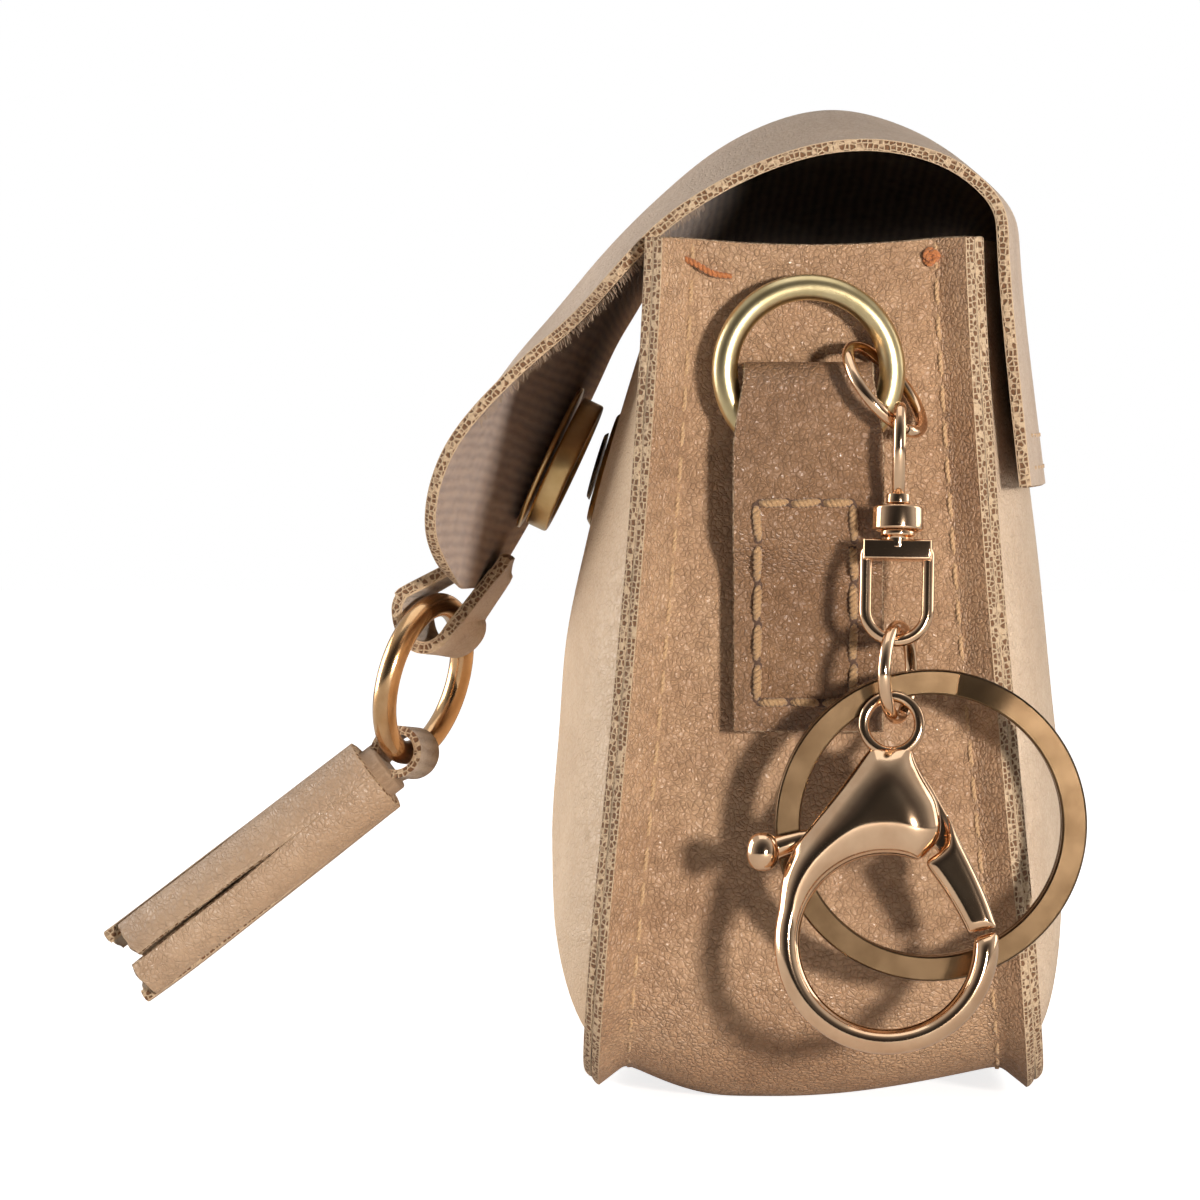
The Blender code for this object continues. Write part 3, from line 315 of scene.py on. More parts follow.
# a plate with its edges rolled round, by shrinking the outline towards both faces
def rolledPlate(outline, thickness, edge, steps=5):
    count = len(outline)
    area = sum(outline[k - 1][0] * outline[k][1] - outline[k][0] * outline[k - 1][1] for k in range(count))
    inwards = []
    for k in range(count):
        a, b, c = (Vector((*outline[i % count], 0)) for i in (k - 1, k, k + 1))
        n1 = Vector((-(b - a).y, (b - a).x, 0)).normalized()
        n2 = Vector((-(c - b).y, (c - b).x, 0)).normalized()
        n = (n1 + n2).normalized()
        n /= max(0.55, n.dot(n1))
        inwards.append(n if area > 0 else -n)
    half = thickness / 2
    turns = [math.pi / 2 * s / steps for s in range(steps + 1)]
    rings = [(-half + edge * (1 - math.cos(t)), edge * (1 - math.sin(t))) for t in turns]
    rings += [(half - edge * (1 - math.cos(t)), edge * (1 - math.sin(t))) for t in reversed(turns)]
    solid = []
    for x, pull in rings:
        solid.append([Vector((x, outline[k][0] + inwards[k].x * pull, outline[k][1] + inwards[k].y * pull))
                      for k in range(count)])
    return skin(solid)


# Materials

# sRGB 0 to 255 to a linear colour
def linear(r, g, b):
    out = []
    for v in (r, g, b):
        v /= 255
        out.append(v / 12.92 if v <= 0.04045 else ((v + 0.055) / 1.055) ** 2.4)
    return (*out, 1.0)


def newMaterial(name):
    material = bpy.data.materials.new(name)
    material.use_nodes = True
    tree = material.node_tree
    return material, tree, tree.nodes["Principled BSDF"]


# link or set a node's inputs
def feed(tree, node, inputs):
    for socket, value in inputs.items():
        if isinstance(value, bpy.types.NodeSocket):
            tree.links.new(value, node.inputs[socket])
        else:
            node.inputs[socket].default_value = value
    return node


def nodeWith(tree, kind, inputs, **settings):
    node = tree.nodes.new(kind)
    for setting, value in settings.items():
        setattr(node, setting, value)
    return feed(tree, node, inputs)


# lengths over the sheet from its UVs, or places on the object, both in millimetres
def lengthsVector(tree):
    return inMillimetres(tree, "UV", 1000 / uvPerMetre)


def placesVector(tree):
    return inMillimetres(tree, "Object", 1000)


def inMillimetres(tree, source, scale):
    coordinates = tree.nodes.new("ShaderNodeTexCoord")
    inputs = {"Vector": coordinates.outputs[source], "Scale": (scale,) * 3}
    return nodeWith(tree, "ShaderNodeMapping", inputs).outputs["Vector"]


def ramp(tree, value, stops):
    node = tree.nodes.new("ShaderNodeValToRGB")
    elements = node.color_ramp.elements
    while len(elements) < len(stops):
        elements.new(0.5)
    for element, (place, colour) in zip(elements, stops):
        element.position = place
        element.color = colour if len(colour) == 4 else (*colour, 1.0)
    tree.links.new(value, node.inputs["Fac"])
    return node.outputs["Color"]


def level(share):
    return (share, share, share)


def mathNode(tree, operation, *values, clamp=False):
    inputs = dict(enumerate(values))
    return nodeWith(tree, "ShaderNodeMath", inputs, operation=operation, use_clamp=clamp).outputs[0]


def noiseNode(tree, vector, scale, detail=3.0, roughness=0.55, distortion=0.0, output="Fac"):
    inputs = {"Vector": vector, "Scale": scale, "Detail": detail, "Roughness": roughness,
              "Distortion": distortion}
    return nodeWith(tree, "ShaderNodeTexNoise", inputs).outputs[output]


def voronoiNode(tree, vector, scale, feature="F1", randomness=1.0):
    inputs = {"Vector": vector, "Scale": scale, "Randomness": randomness}
    if feature == "SMOOTH_F1":
        inputs["Smoothness"] = 0.45
    return nodeWith(tree, "ShaderNodeTexVoronoi", inputs, feature=feature).outputs["Distance"]


def mixColour(tree, factor, a, b):
    return nodeWith(tree, "ShaderNodeMix", {0: factor, 6: a, 7: b}, data_type="RGBA").outputs[2]


def bump(tree, height, strength, distance):
    inputs = {"Height": height, "Strength": strength, "Distance": distance}
    return nodeWith(tree, "ShaderNodeBump", inputs).outputs["Normal"]


pebbled = {
    "grainPerMm": 1.9,
    "grainDepth": 0.27 * mm,
    "creaseShade": 0.28,
    "fineTimes": 2.2,
    "warpPerMm": 0.9,
    "warp": 0.8,
    "wornPerMm": 0.7,
    "poresPerMm": 5.0,
    "patchesPerMm": 0.07,
    # each piece gets its own lighter or darker copy of one leatherette's tones, as painted light and shade
    # for how much light falls on it: darker on the side tab, gusset and tassel, paler on the front, back and
    # flap
    "gusset": ((190, 151, 115), (168, 129, 95), (120, 84, 56)),
    "front": ((226, 196, 162), (214, 182, 147), (180, 145, 110)),
    "back": ((216, 190, 162), (204, 175, 146), (170, 138, 108)),
    "flap": ((212, 186, 162), (196, 170, 146), (162, 134, 110)),
    "tab": ((144, 107, 74), (130, 94, 63), (94, 63, 39)),
    "tassel": ((182, 151, 121), (168, 137, 108), (130, 101, 75)),
}


# pressed pebble grain: soft domes of two sizes, their creases painted a little darker as painted shade
def pebbledLeatherette(name, tones, relief=1.0, gloss=0.33):
    material, tree, shader = newMaterial(name)
    vector = lengthsVector(tree)
    grain, warp = pebbled["grainPerMm"], pebbled["warp"]
    astray = noiseNode(tree, vector, pebbled["warpPerMm"], 2.0, 0.5, output="Color")
    bent = nodeWith(tree, "ShaderNodeVectorMath", {0: astray, 1: (warp, warp, warp), 2: vector},
                    operation="MULTIPLY_ADD").outputs[0]
    domes = voronoiNode(tree, bent, grain, "SMOOTH_F1")
    furrows = voronoiNode(tree, bent, grain, "DISTANCE_TO_EDGE")
    fineFurrows = voronoiNode(tree, bent, grain * pebbled["fineTimes"], "DISTANCE_TO_EDGE")
    deep = ramp(tree, furrows, ((0.0, level(0.9)), (0.12, level(0.4)), (0.32, level(0.0))))
    fine = ramp(tree, fineFurrows, ((0.0, level(0.45)), (0.12, level(0.2)), (0.3, level(0.0))))
    rubbed = noiseNode(tree, vector, pebbled["wornPerMm"])
    worn = ramp(tree, rubbed, ((0.38, level(0.55)), (0.62, level(1.0))))
    sunk = mathNode(tree, "MULTIPLY", mathNode(tree, "MAXIMUM", deep, fine), worn)
    sunk = mathNode(tree, "MULTIPLY_ADD", domes, 0.45, sunk)
    pores = noiseNode(tree, vector, pebbled["poresPerMm"], 4.0)
    height = mathNode(tree, "MULTIPLY_ADD", pores, -0.1, sunk)
    patches = noiseNode(tree, vector, pebbled["patchesPerMm"], 4.0, 0.6)
    pale, middle, dark = (linear(*t) for t in tones)
    wide = ramp(tree, patches, ((0.35, middle), (0.62, pale)))
    # painted shade: the deeper the crease, the more its colour moves towards the darkest tone
    paintedCreaseShade = ramp(tree, sunk, ((0.3, level(0.0)), (1.1, level(pebbled["creaseShade"] * relief))))
    raised = mathNode(tree, "MULTIPLY", height, -1.0)
    feed(tree, shader, {
        "Base Color": mixColour(tree, paintedCreaseShade, wide, dark),
        "Roughness": ramp(tree, sunk, ((0.2, level(gloss)), (0.9, level(0.68)))),
        "Specular IOR Level": 0.8,
        "Normal": bump(tree, raised, 0.8, pebbled["grainDepth"] * relief),
    })
    return material


rawEdge = {
    "wall": (214, 188, 156),
    "core": (184, 152, 118),
    # painted shade: the colour put into the open cells
    "pitShade": (118, 82, 54),
    "cellsPerMm": 1.8,
    "crumbsPerMm": 3.5,
    "disorder": 0.55,
    "wallShare": 0.07,
    "filledShare": 0.12,
    "skinShare": 0.42,
    "thickness": 1.2,
    "depth": 0.3 * mm,
}


# cut foam core: pale cell walls round open cells painted dark as the shade inside them, between two thin
# skins
def rawEdgeMaterial(name):
    material, tree, shader = newMaterial(name)
    vector = lengthsVector(tree)
    split = nodeWith(tree, "ShaderNodeSeparateXYZ", {0: vector})
    crumb = noiseNode(tree, vector, rawEdge["crumbsPerMm"], 5.0, 0.7)
    walls = voronoiNode(tree, vector, rawEdge["cellsPerMm"], "DISTANCE_TO_EDGE", rawEdge["disorder"])
    middles = voronoiNode(tree, vector, rawEdge["cellsPerMm"], "F1", rawEdge["disorder"])
    chosen = middles.node.outputs["Color"]
    openCell = mathNode(tree, "GREATER_THAN", chosen, rawEdge["filledShare"])
    hole = mathNode(tree, "SUBTRACT", walls, rawEdge["wallShare"])
    hole = mathNode(tree, "MULTIPLY", hole, 7.0, clamp=True)
    across = mathNode(tree, "DIVIDE", split.outputs["Y"], rawEdge["thickness"])
    fromMiddle = mathNode(tree, "ABSOLUTE", mathNode(tree, "SUBTRACT", across, 0.5))
    inside = mathNode(tree, "LESS_THAN", fromMiddle, rawEdge["skinShare"])
    hole = mathNode(tree, "MULTIPLY", hole, mathNode(tree, "MULTIPLY", inside, openCell))
    tone = ramp(tree, crumb, ((0.3, linear(*rawEdge["core"])), (0.7, linear(*rawEdge["wall"]))))
    depth = mathNode(tree, "MULTIPLY_ADD", hole, -1.0, crumb)
    feed(tree, shader, {
        "Base Color": mixColour(tree, hole, tone, linear(*rawEdge["pitShade"])),
        "Roughness": 0.85,
        "Normal": bump(tree, depth, 0.8, rawEdge["depth"]),
    })
    return material


fleece = {"pale": (170, 136, 108), "middle": (138, 105, 82), "dark": (90, 65, 50), "ribPitch": 1.15}


# brushed backing: short nap over faint diagonal ribs
def fleecyLining(name, tones=fleece):
    material, tree, shader = newMaterial(name)
    vector = lengthsVector(tree)
    nap = noiseNode(tree, vector, 5.0, 6.0, 0.75, 0.6)
    clumps = noiseNode(tree, vector, 0.5)
    slant = (0, 0, math.radians(2.0))
    slanted = nodeWith(tree, "ShaderNodeMapping", {"Rotation": slant, "Vector": vector}).outputs["Vector"]
    inputs = {"Vector": slanted, "Scale": math.pi / (10 * fleece["ribPitch"]), "Distortion": 2.4,
              "Detail": 2.0}
    ribs = nodeWith(tree, "ShaderNodeTexWave", inputs, wave_type="BANDS", bands_direction="Y")
    fibre = mathNode(tree, "MULTIPLY_ADD", ribs.outputs["Fac"], 0.2, nap)
    fibre = mathNode(tree, "MULTIPLY_ADD", clumps, 0.5, fibre)
    stops = ((0.42, linear(*tones["dark"])), (0.72, linear(*tones["middle"])), (1.0, linear(*tones["pale"])))
    feed(tree, shader, {
        "Base Color": ramp(tree, fibre, stops),
        "Roughness": 0.95,
        "Specular IOR Level": 0.15,
        "Sheen Weight": 0.35,
        "Sheen Roughness": 0.5,
        "Normal": bump(tree, fibre, 0.7, 0.4 * mm),
    })
    return material


# plated metal: faint pits and rubs, a duller tone where the plating is thin
def plated(name, tone, shade, roughness, brushed=0.0, wear=0.3):
    material, tree, shader = newMaterial(name)
    vector = placesVector(tree)
    cloud = noiseNode(tree, vector, 0.35)
    specks = noiseNode(tree, vector, 9.0, 3.0, 0.7)
    height = specks
    if brushed:
        drawnOut = {"Vector": vector, "Scale": (1.0, 9.0, 1.0)}
        lines = nodeWith(tree, "ShaderNodeMapping", drawnOut).outputs["Vector"]
        height = noiseNode(tree, lines, 2.0, 4.0)
    feed(tree, shader, {
        "Base Color": ramp(tree, cloud, ((0.3, linear(*shade)), (0.7, linear(*tone)))),
        "Metallic": 1.0,
        "Roughness": mathNode(tree, "MULTIPLY_ADD", specks, wear * roughness, roughness * (1 - wear * 0.5)),
        "Normal": bump(tree, height, 0.12 + brushed * 0.6, 0.02 * mm),
    })
    return material


def twistedThread(name, tone, shade):
    material, tree, shader = newMaterial(name)
    fuzz = noiseNode(tree, placesVector(tree), 6.0, 4.0, 0.7)
    feed(tree, shader, {
        "Base Color": ramp(tree, fuzz, ((0.3, linear(*shade)), (0.7, linear(*tone)))),
        "Roughness": 0.7,
        "Sheen Weight": 0.2,
        "Normal": bump(tree, fuzz, 0.6, 0.1 * mm),
    })
    return material


print("making materials")
backing = {"pale": (190, 166, 140), "middle": (160, 134, 108), "dark": (112, 88, 66)}
# the backs of the gusset and panels, inside the pouch, get the backing painted far darker: painted shade
# inside the pouch
paintedShadeTones = {"pale": (96, 76, 60), "middle": (62, 46, 36), "dark": (34, 24, 18)}
gussetSkin = pebbledLeatherette("gussetSkin", pebbled["gusset"])
frontSkin = pebbledLeatherette("frontSkin", pebbled["front"], 0.4)
backSkin = pebbledLeatherette("backSkin", pebbled["back"], 0.5)
flapSkin = pebbledLeatherette("flapSkin", pebbled["flap"], 0.5)
tabSkin = pebbledLeatherette("tabSkin", pebbled["tab"], 0.9)
tasselSkin = pebbledLeatherette("tasselSkin", pebbled["tassel"], 0.5)
thinEdge = rawEdgeMaterial("thinRawEdge")
flapEdge = rawEdgeMaterial("flapRawEdge")
innerBacking = fleecyLining("innerBacking", paintedShadeTones)
flapLining = fleecyLining("flapLining")
tabBacking = fleecyLining("tabBacking", backing)
champagne = plated("champagnePlate", (220, 202, 158), (200, 180, 134), 0.3, 0.3)
roseGold = plated("rosePlate", (240, 204, 168), (222, 182, 146), 0.1)
antiqueGold = plated("antiquePlate", (116, 93, 68), (94, 73, 51), 0.24, 0.1)
snapBrass = plated("snapBrass", (222, 190, 136), (200, 164, 110), 0.3, 0.4)
snapSteel = plated("snapSteel", (176, 172, 166), (140, 136, 130), 0.3, 0.3)
tipGold = plated("tipRingPlate", (226, 186, 142), (204, 160, 112), 0.18, 0.2)
thread = twistedThread("twistedThread", (188, 150, 106), (138, 102, 66))
seamThread = twistedThread("seamThread", (204, 168, 126), (160, 122, 84))
endThread = twistedThread("endThread", (190, 118, 62), (150, 84, 40))
hairFibre = twistedThread("hairFibre", (200, 172, 144), (166, 136, 108))
holeShadow = twistedThread("needleHole", (92, 62, 40), (60, 38, 24))


# Shell of the pouch: the part's own driving sizes, with thinner leather

shell = {
    "seamHalfWidth": 46.0 * mm,
    "height": 86.3 * mm,
    "seamFloor": 3.9 * mm,
    "cornerRadius": 15.0 * mm,
    "leather": 1.2 * mm,
    "layerGap": 0.05 * mm,
    "mouthHalfDepth": 12.2 * mm,
    "floorHalfDepth": 19.4 * mm,
    "flangeRise": 3.3 * mm,
    "flangeSpread": 3.0 * mm,
    "flangeBottom": -0.25,
    "sideBulge": 0.6 * mm,
    "restFlat": 2.0 * mm,
    "bellyForward": 6.0 * mm,
    "fullBulgeHeight": 42.0 * mm,
    "bulgeReach": 34.0 * mm,
    "front": (1.5 * mm, 9.5 * mm),
    "back": (6.0 * mm, 8.0 * mm),
    "wrinkle": 0.22 * mm,
    "flangeWave": 0.35 * mm,
    "flangeWaveSize": 11 * mm,
    "mouthDip": 0.7 * mm,
    "mouthDipReach": 14 * mm,
}
seatGap = 0.3 * mm
panelInset = (shell["leather"] + shell["layerGap"]) / math.sqrt(2)


def halfDepth(z):
    drop = 1 - min(max(z / shell["height"], 0.0), 1.0)
    return shell["mouthHalfDepth"] + (shell["floorHalfDepth"] - shell["mouthHalfDepth"]) * drop ** 1.3


# point and outward direction on the U of the seam, from the +X mouth down, under and up
def seamPath(share, inset=0.0):
    width = shell["seamHalfWidth"] - inset
    radius = shell["cornerRadius"] - inset
    floor = shell["seamFloor"] + inset
    side = shell["height"] - floor - radius
    arc = radius * math.pi / 2
    under = 2 * (width - radius)
    at = share * (2 * side + 2 * arc + under)
    if at <= side:
        return Vector((width, 0, shell["height"] - at)), Vector((1, 0, 0))
    at -= side
    if at <= arc:
        turn = at / radius
        out = Vector((math.cos(turn), 0, -math.sin(turn)))
        return Vector((width - radius, 0, floor + radius)) + out * radius, out
    at -= arc
    if at <= under:
        return Vector((width - radius - at, 0, floor)), Vector((0, 0, -1))
    at -= under
    if at <= arc:
        turn = at / radius
        out = Vector((-math.sin(turn), 0, -math.cos(turn)))
        return Vector((radius - width, 0, floor + radius)) + out * radius, out
    at -= arc
    return Vector((-width, 0, floor + radius + at)), Vector((-1, 0, 0))


def panelY(x, z, bulges):
    width = shell["seamHalfWidth"] - panelInset
    radius = shell["cornerRadius"] - panelInset
    floor = shell["seamFloor"] + panelInset
    dx = abs(x) - (width - radius)
    dz = (floor + radius) - z
    inside = radius - math.hypot(dx, dz) if dx > 0 and dz > 0 else min(radius - dx, radius - dz)
    share = min(max(inside / shell["bulgeReach"], 0.0), 1.0)
    rise = math.sqrt(max(0.0, 1 - (1 - share) ** 2)) ** 1.1
    drop = min(max((shell["height"] - z) / (shell["height"] - shell["fullBulgeHeight"]), 0.0), 1.0)
    bulge = bulges[0] + (bulges[1] - bulges[0]) * math.sin(drop ** 1.2 * math.pi / 2)
    return halfDepth(z) + panelInset + bulge * rise


def gussetRows():
    rows = []
    along, flange, face = 190, 7, 46
    for i in range(along + 1):
        place, out = seamPath(i / along)
        half = halfDepth(place.z)
        under = max(0.0, -out.z) ** 2
        deepest = shell["seamFloor"] - shell["leather"] / 2
        line = []
        for j in range(flange):
            reach = 1 - j / flange
            line.append((reach, -1, 0))
        for j in range(face + 1):
            line.append((0, 0, half * (2 * j / face - 1)))
        for j in range(flange):
            line.append(((j + 1) / flange, 1, 0))
        points = []
        for reach, sign, y in line:
            if sign:
                wave = shell["flangeWave"] * wobble((place.x, place.z, sign), shell["flangeWaveSize"]) * reach
                p = place + out * (shell["flangeRise"] * (1 + shell["flangeBottom"] * under) * reach + wave)
                p = p + Vector((0, sign * (half + shell["flangeSpread"] * reach), 0))
            else:
                low = y + shell["bellyForward"]
                span = half - shell["bellyForward"] if low < 0 else half + shell["bellyForward"]
                room = 1 - max(0.0, abs(low) - shell["restFlat"]) / (span - shell["restFlat"])
                middle = (1 - (y / half) ** 2) * (1 - under)
                bulge = shell["sideBulge"] * middle
                bulge += deepest * math.sin(room * math.pi / 2) * under
                soft = wobble((place.x, y, place.z), 17 * mm) * shell["wrinkle"] * middle
                p = place + out * (bulge + soft) + Vector((0, y, 0))
            nearMouth = smooth(1 - (shell["height"] - p.z) / shell["mouthDipReach"])
            p.z -= shell["mouthDip"] * (1 - min(1.0, (p.y / half) ** 2)) * nearMouth
            points.append(p)
        rows.append(points)
    return evened(rows, 3)


# the bulging face, with its flange turned out along both sides and below, as one real sheet
def panelPiece(name, sign, bulges, material):
    columns, rowCount, flangeSteps = 96, 84, 5
    width = shell["seamHalfWidth"] - panelInset
    radius = shell["cornerRadius"] - panelInset
    floor = shell["seamFloor"] + panelInset
    bm = bmesh.new()
    lines = []
    for i in range(rowCount + 1):
        line = []
        for j in range(columns + 1):
            x = width * math.sin((2 * j / columns - 1) * math.pi / 2)
            over = max(0.0, abs(x) - (width - radius))
            low = floor + radius - math.sqrt(max(0.0, radius ** 2 - over ** 2))
            z = shell["height"] + (low - shell["height"]) * (i / rowCount)
            y = panelY(x, z, bulges)
            free = min(1.0, (y - halfDepth(z)) / (4 * mm))
            y += wobble((x, sign * 9 * mm, z), 16 * mm) * shell["wrinkle"] * 1.6 * free
            line.append(bm.verts.new((x, sign * y, z)))
        lines.append(line)
    for upper, lower in zip(lines, lines[1:]):
        for j in range(columns):
            bm.faces.new((upper[j], upper[j + 1], lower[j + 1], lower[j]))
    border = [line[0] for line in lines] + lines[-1][1:-1] + [line[-1] for line in reversed(lines)]
    before = border
    for step in range(1, flangeSteps + 1):
        reach = step / flangeSteps
        fresh = []
        for vert in border:
            x, y, z = vert.co
            dx = abs(x) - (width - radius)
            dz = (floor + radius) - z
            if dz <= 0:
                out = Vector((math.copysign(1, x), 0, 0))
            elif dx <= 0:
                out = Vector((0, 0, -1))
            else:
                out = Vector((math.copysign(dx, x), 0, -dz)).normalized()
            wave = shell["flangeWave"] * wobble((x, z, sign), shell["flangeWaveSize"], 3.0) * reach
            spread = Vector((0, sign * shell["flangeSpread"] * reach, 0))
            rise = shell["flangeRise"] * (1 + shell["flangeBottom"] * max(0.0, -out.z) ** 2)
            fresh.append(bm.verts.new(vert.co + out * (rise * reach + wave) + spread))
        for k in range(len(border) - 1):
            bm.faces.new((before[k], before[k + 1], fresh[k + 1], fresh[k]))
        before = fresh
    bmesh.ops.recalc_face_normals(bm, faces=bm.faces[:])
    belly = Vector((0, sign * 20 * mm, 40 * mm))
    middle = min(bm.faces, key=lambda f: (f.calc_center_median() - belly).length)
    if middle.normal.y * sign < 0:
        bmesh.ops.reverse_faces(bm, faces=bm.faces[:])
    return thickened(name, bm, shell["leather"], material)


# give an open surface its back and its raw edge; UVs come from the X and Z lengths
def thickened(name, bm, thickness, material):
    bm.normal_update()
    uvLayer = bm.loops.layers.uv.new("lengths")
    half = thickness / 2
    normals = {v: v.normal.copy() for v in bm.verts}
    middles = {v: v.co.copy() for v in bm.verts}
    edges = [e for e in bm.edges if e.is_boundary]
    following = {}
    for e in edges:
        loop = e.link_loops[0]
        following[loop.vert] = loop.link_loop_next.vert
    faces = bm.faces[:]
    lower = {}
    for v in list(normals):
        lower[v] = bm.verts.new(middles[v] - normals[v] * half)
        v.co = middles[v] + normals[v] * half
    for f in faces:
        back = bm.faces.new([lower[v] for v in reversed(f.verts)])
        back.material_index = 1
    chain = [next(iter(following))]
    while following[chain[-1]] is not chain[0]:
        chain.append(following[chain[-1]])
    stops = []
    for k, v in enumerate(chain):
        along = middles[chain[(k + 1) % len(chain)]] - middles[chain[k - 1]]
        stops.append((v, lower[v], middles[v], normals[v], along.cross(normals[v]).normalized()))
    closeRawEdge(bm, uvLayer, stops, thickness)
    for f in bm.faces:
        if f.material_index < 2:
            for loop in f.loops:
                co = loop.vert.co
                loop[uvLayer].uv = (co.x * uvPerMetre, co.z * uvPerMetre)
    bmesh.ops.recalc_face_normals(bm, faces=bm.faces[:])
    return objectFrom(name, bm, [material, innerBacking, thinEdge], sharp=50)


print("making the shell")
gusset = sheetFrom("gusset_strip_sheet", gussetRows(), shell["leather"],
                   [gussetSkin, innerBacking, thinEdge])
standIn(gusset, "gusset_strip", "pouch")
frontPanel = panelPiece("front_panel_sheet", -1, shell["front"], frontSkin)
standIn(frontPanel, "front_panel", "pouch")
backPanel = panelPiece("back_panel_sheet", 1, shell["back"], backSkin)
standIn(backPanel, "back_panel", "pouch")


# Flap: one sheet from its sewn tail on the back, over the mouth, down to the tasselled tip

flap = {
    "thickness": 1.2 * mm,
    "tailLength": 24.6 * mm,
    "hinge": 86.6 * mm,
    "halfWidth": 45.0 * mm,
    "tongueHalfWidth": 33.0 * mm,
    "tipHalfWidth": 9.0 * mm,
    "narrowing": (0.56, 0.66),
    "tailHug": 0.8,
    "farQuarter": 0.62,
    "ripple": 0.3 * mm,
    "rippleSize": 19 * mm,
    # lengthwise curves from the fold to the tip, in half mouth depths:
    # back from the middle and up from the fold
    "farEdge": [(1.574, 0.0), (1.426, 0.230), (0.779, 0.197), (0.0, 0.180), (-0.738, 0.164), (-1.410, -0.049),
                (-1.754, -0.541), (-2.033, -1.131), (-2.328, -1.754), (-2.639, -2.377), (-2.902, -2.902)],
    "centre": [(1.738, 0.0), (1.385, 0.525), (0.820, 0.918), (0.082, 1.074), (-0.680, 0.811), (-1.311, 0.295),
               (-1.803, -0.393), (-2.131, -1.148), (-2.434, -1.820), (-2.730, -2.418), (-2.967, -2.943)],
    "ridge": [(1.705, 0.0), (1.336, 0.541), (0.779, 0.918), (0.082, 1.066), (-0.680, 0.803), (-1.361, 0.270),
              (-1.967, -0.377), (-2.492, -1.016), (-2.787, -1.689), (-2.992, -2.344), (-3.016, -2.930)],
    "nearEdge": [(1.574, 0.0), (1.262, 0.475), (0.738, 0.705), (0.123, 0.721), (-0.525, 0.516),
                 (-1.180, 0.115), (-1.770, -0.492), (-2.443, -1.066), (-3.008, -1.721), (-3.213, -2.377),
                 (-3.074, -2.910)],
}
flapSeat = (shell["leather"] + flap["thickness"]) / 2 + seatGap


def backY(x, z):
    return panelY(x, z, shell["back"])


def frontY(x, z):
    return panelY(x, z, shell["front"])


def flapWidth(along):
    begin, end = flap["narrowing"]
    if along < end:
        return mixed(flap["halfWidth"], flap["tongueHalfWidth"], smooth((along - begin) / (end - begin)))
    drop = (along - end) / (1 - end)
    return mixed(flap["tipHalfWidth"], flap["tongueHalfWidth"], math.sqrt(max(0.0, 1 - drop ** 2.2)))


def flapPoint(along, across):
    depth = shell["mouthHalfDepth"]
    curves = [curveThrough([(0, back * depth, flap["hinge"] + up * depth) for back, up in flap[part]], along)
              for part in ("farEdge", "centre", "ridge", "nearEdge")]
    far, centre, ridge, near = curves
    here = curveThrough([far, far.lerp(centre, flap["farQuarter"]), centre, ridge, near], across)
    x = flapWidth(along) * (2 * across - 1)
    sewn = backY(x * flap["tailHug"], flap["hinge"]) + flapSeat
    return Vector((x, mixed(sewn, here.y, smooth(along * 10)), here.z))


def flapRows():
    rows = []
    columns = 84
    tail, cover = 26, 150
    for i in range(tail):
        z = flap["hinge"] - flap["tailLength"] * (1 - i / tail)
        line = []
        for j in range(columns + 1):
            x = flap["halfWidth"] * (2 * j / columns - 1)
            line.append(Vector((x, backY(x * flap["tailHug"], z) + flapSeat, z)))
        rows.append(line)
    for i in range(cover + 1):
        rows.append([flapPoint(i / cover, j / columns) for j in range(columns + 1)])
    rows = evened(evened(rows, 10, across=False), 4)
    for i, line in enumerate(rows):
        share = i / len(rows)
        for j, p in enumerate(line):
            amount = flap["ripple"] * smooth(share * 4 - 0.8) * (1 - smooth((share - 0.86) / 0.1))
            line[j] = p + Vector((0, -0.5, 0.8)) * amount * wobble(p, flap["rippleSize"], 5.0)
    return rows


print("making the flap")
flapSheet = sheetFrom("flap_sheet", flapRows(), flap["thickness"], [flapSkin, flapLining, flapEdge])
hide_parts("flap_tail", "flap_cover")
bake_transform(flapSheet)


# Frayed backing: short hairs along the cut edge, on the inside of the flap

fray = {
    "hairs": 420,
    "from": 0.46,
    "to": 0.76,
    "across": (0.991, 0.999),
    "length": 0.65 * mm,
    "radius": 0.022 * mm,
    "droop": 0.8,
}


def makeFray():
    random.seed(11)
    bm = bmesh.new()
    for _ in range(fray["hairs"]):
        share = random.uniform(fray["from"], fray["to"])
        across = random.uniform(*fray["across"])
        here = flapPoint(share, across)
        along = (flapPoint(share + 0.01, across) - here).normalized()
        over = (flapPoint(share, across) - flapPoint(share, across - 0.02)).normalized()
        inward = over.cross(along).normalized()
        if inward.z > 0:
            inward.negate()
        root = here + inward * (flap["thickness"] * 0.5)
        lean = along * random.uniform(-0.6, 0.6) + over * random.uniform(0.1, 0.9)
        lean += inward * random.uniform(0.3, 1.0)
        reach = fray["length"] * random.uniform(0.35, 1.0)
        path = []
        for i in range(5):
            f = i / 4
            path.append(root + lean * (reach * f) + Vector((0, 0, -fray["droop"] * reach * f * f)))
        pipeInto(bm, tubeRings(path, fray["radius"], 3))
    hairs = objectFrom("flap_frayed_edge", bm, [hairFibre], sharp=180)
    dressed(hairs, "flap")


makeFray()


# Snap

snap = {
    "share": 0.792,
    "radius": 8.2 * mm,
    "height": 2.4 * mm,
    "washer": 0.5 * mm,
    "wall": 0.8 * mm,
    "recess": 0.7 * mm,
    "frontHeight": 63.0 * mm,
    "plate": 0.6 * mm,
    "plateShare": 0.78,
    "studRadius": 3.8 * mm,
    "studHeight": 0.4 * mm,
}


def alongFlap(share):
    step = flapPoint(share + 0.02, 0.5) - flapPoint(share - 0.02, 0.5)
    return flapPoint(share, 0.5), step.normalized()


# profile of a round plate with rolled corners; taper narrows its top
def disc(radius, top, edge, low=0, taper=1.0):
    return roundedProfile([(0, low), (radius, low), (radius * taper, top), (0, top)], edge)


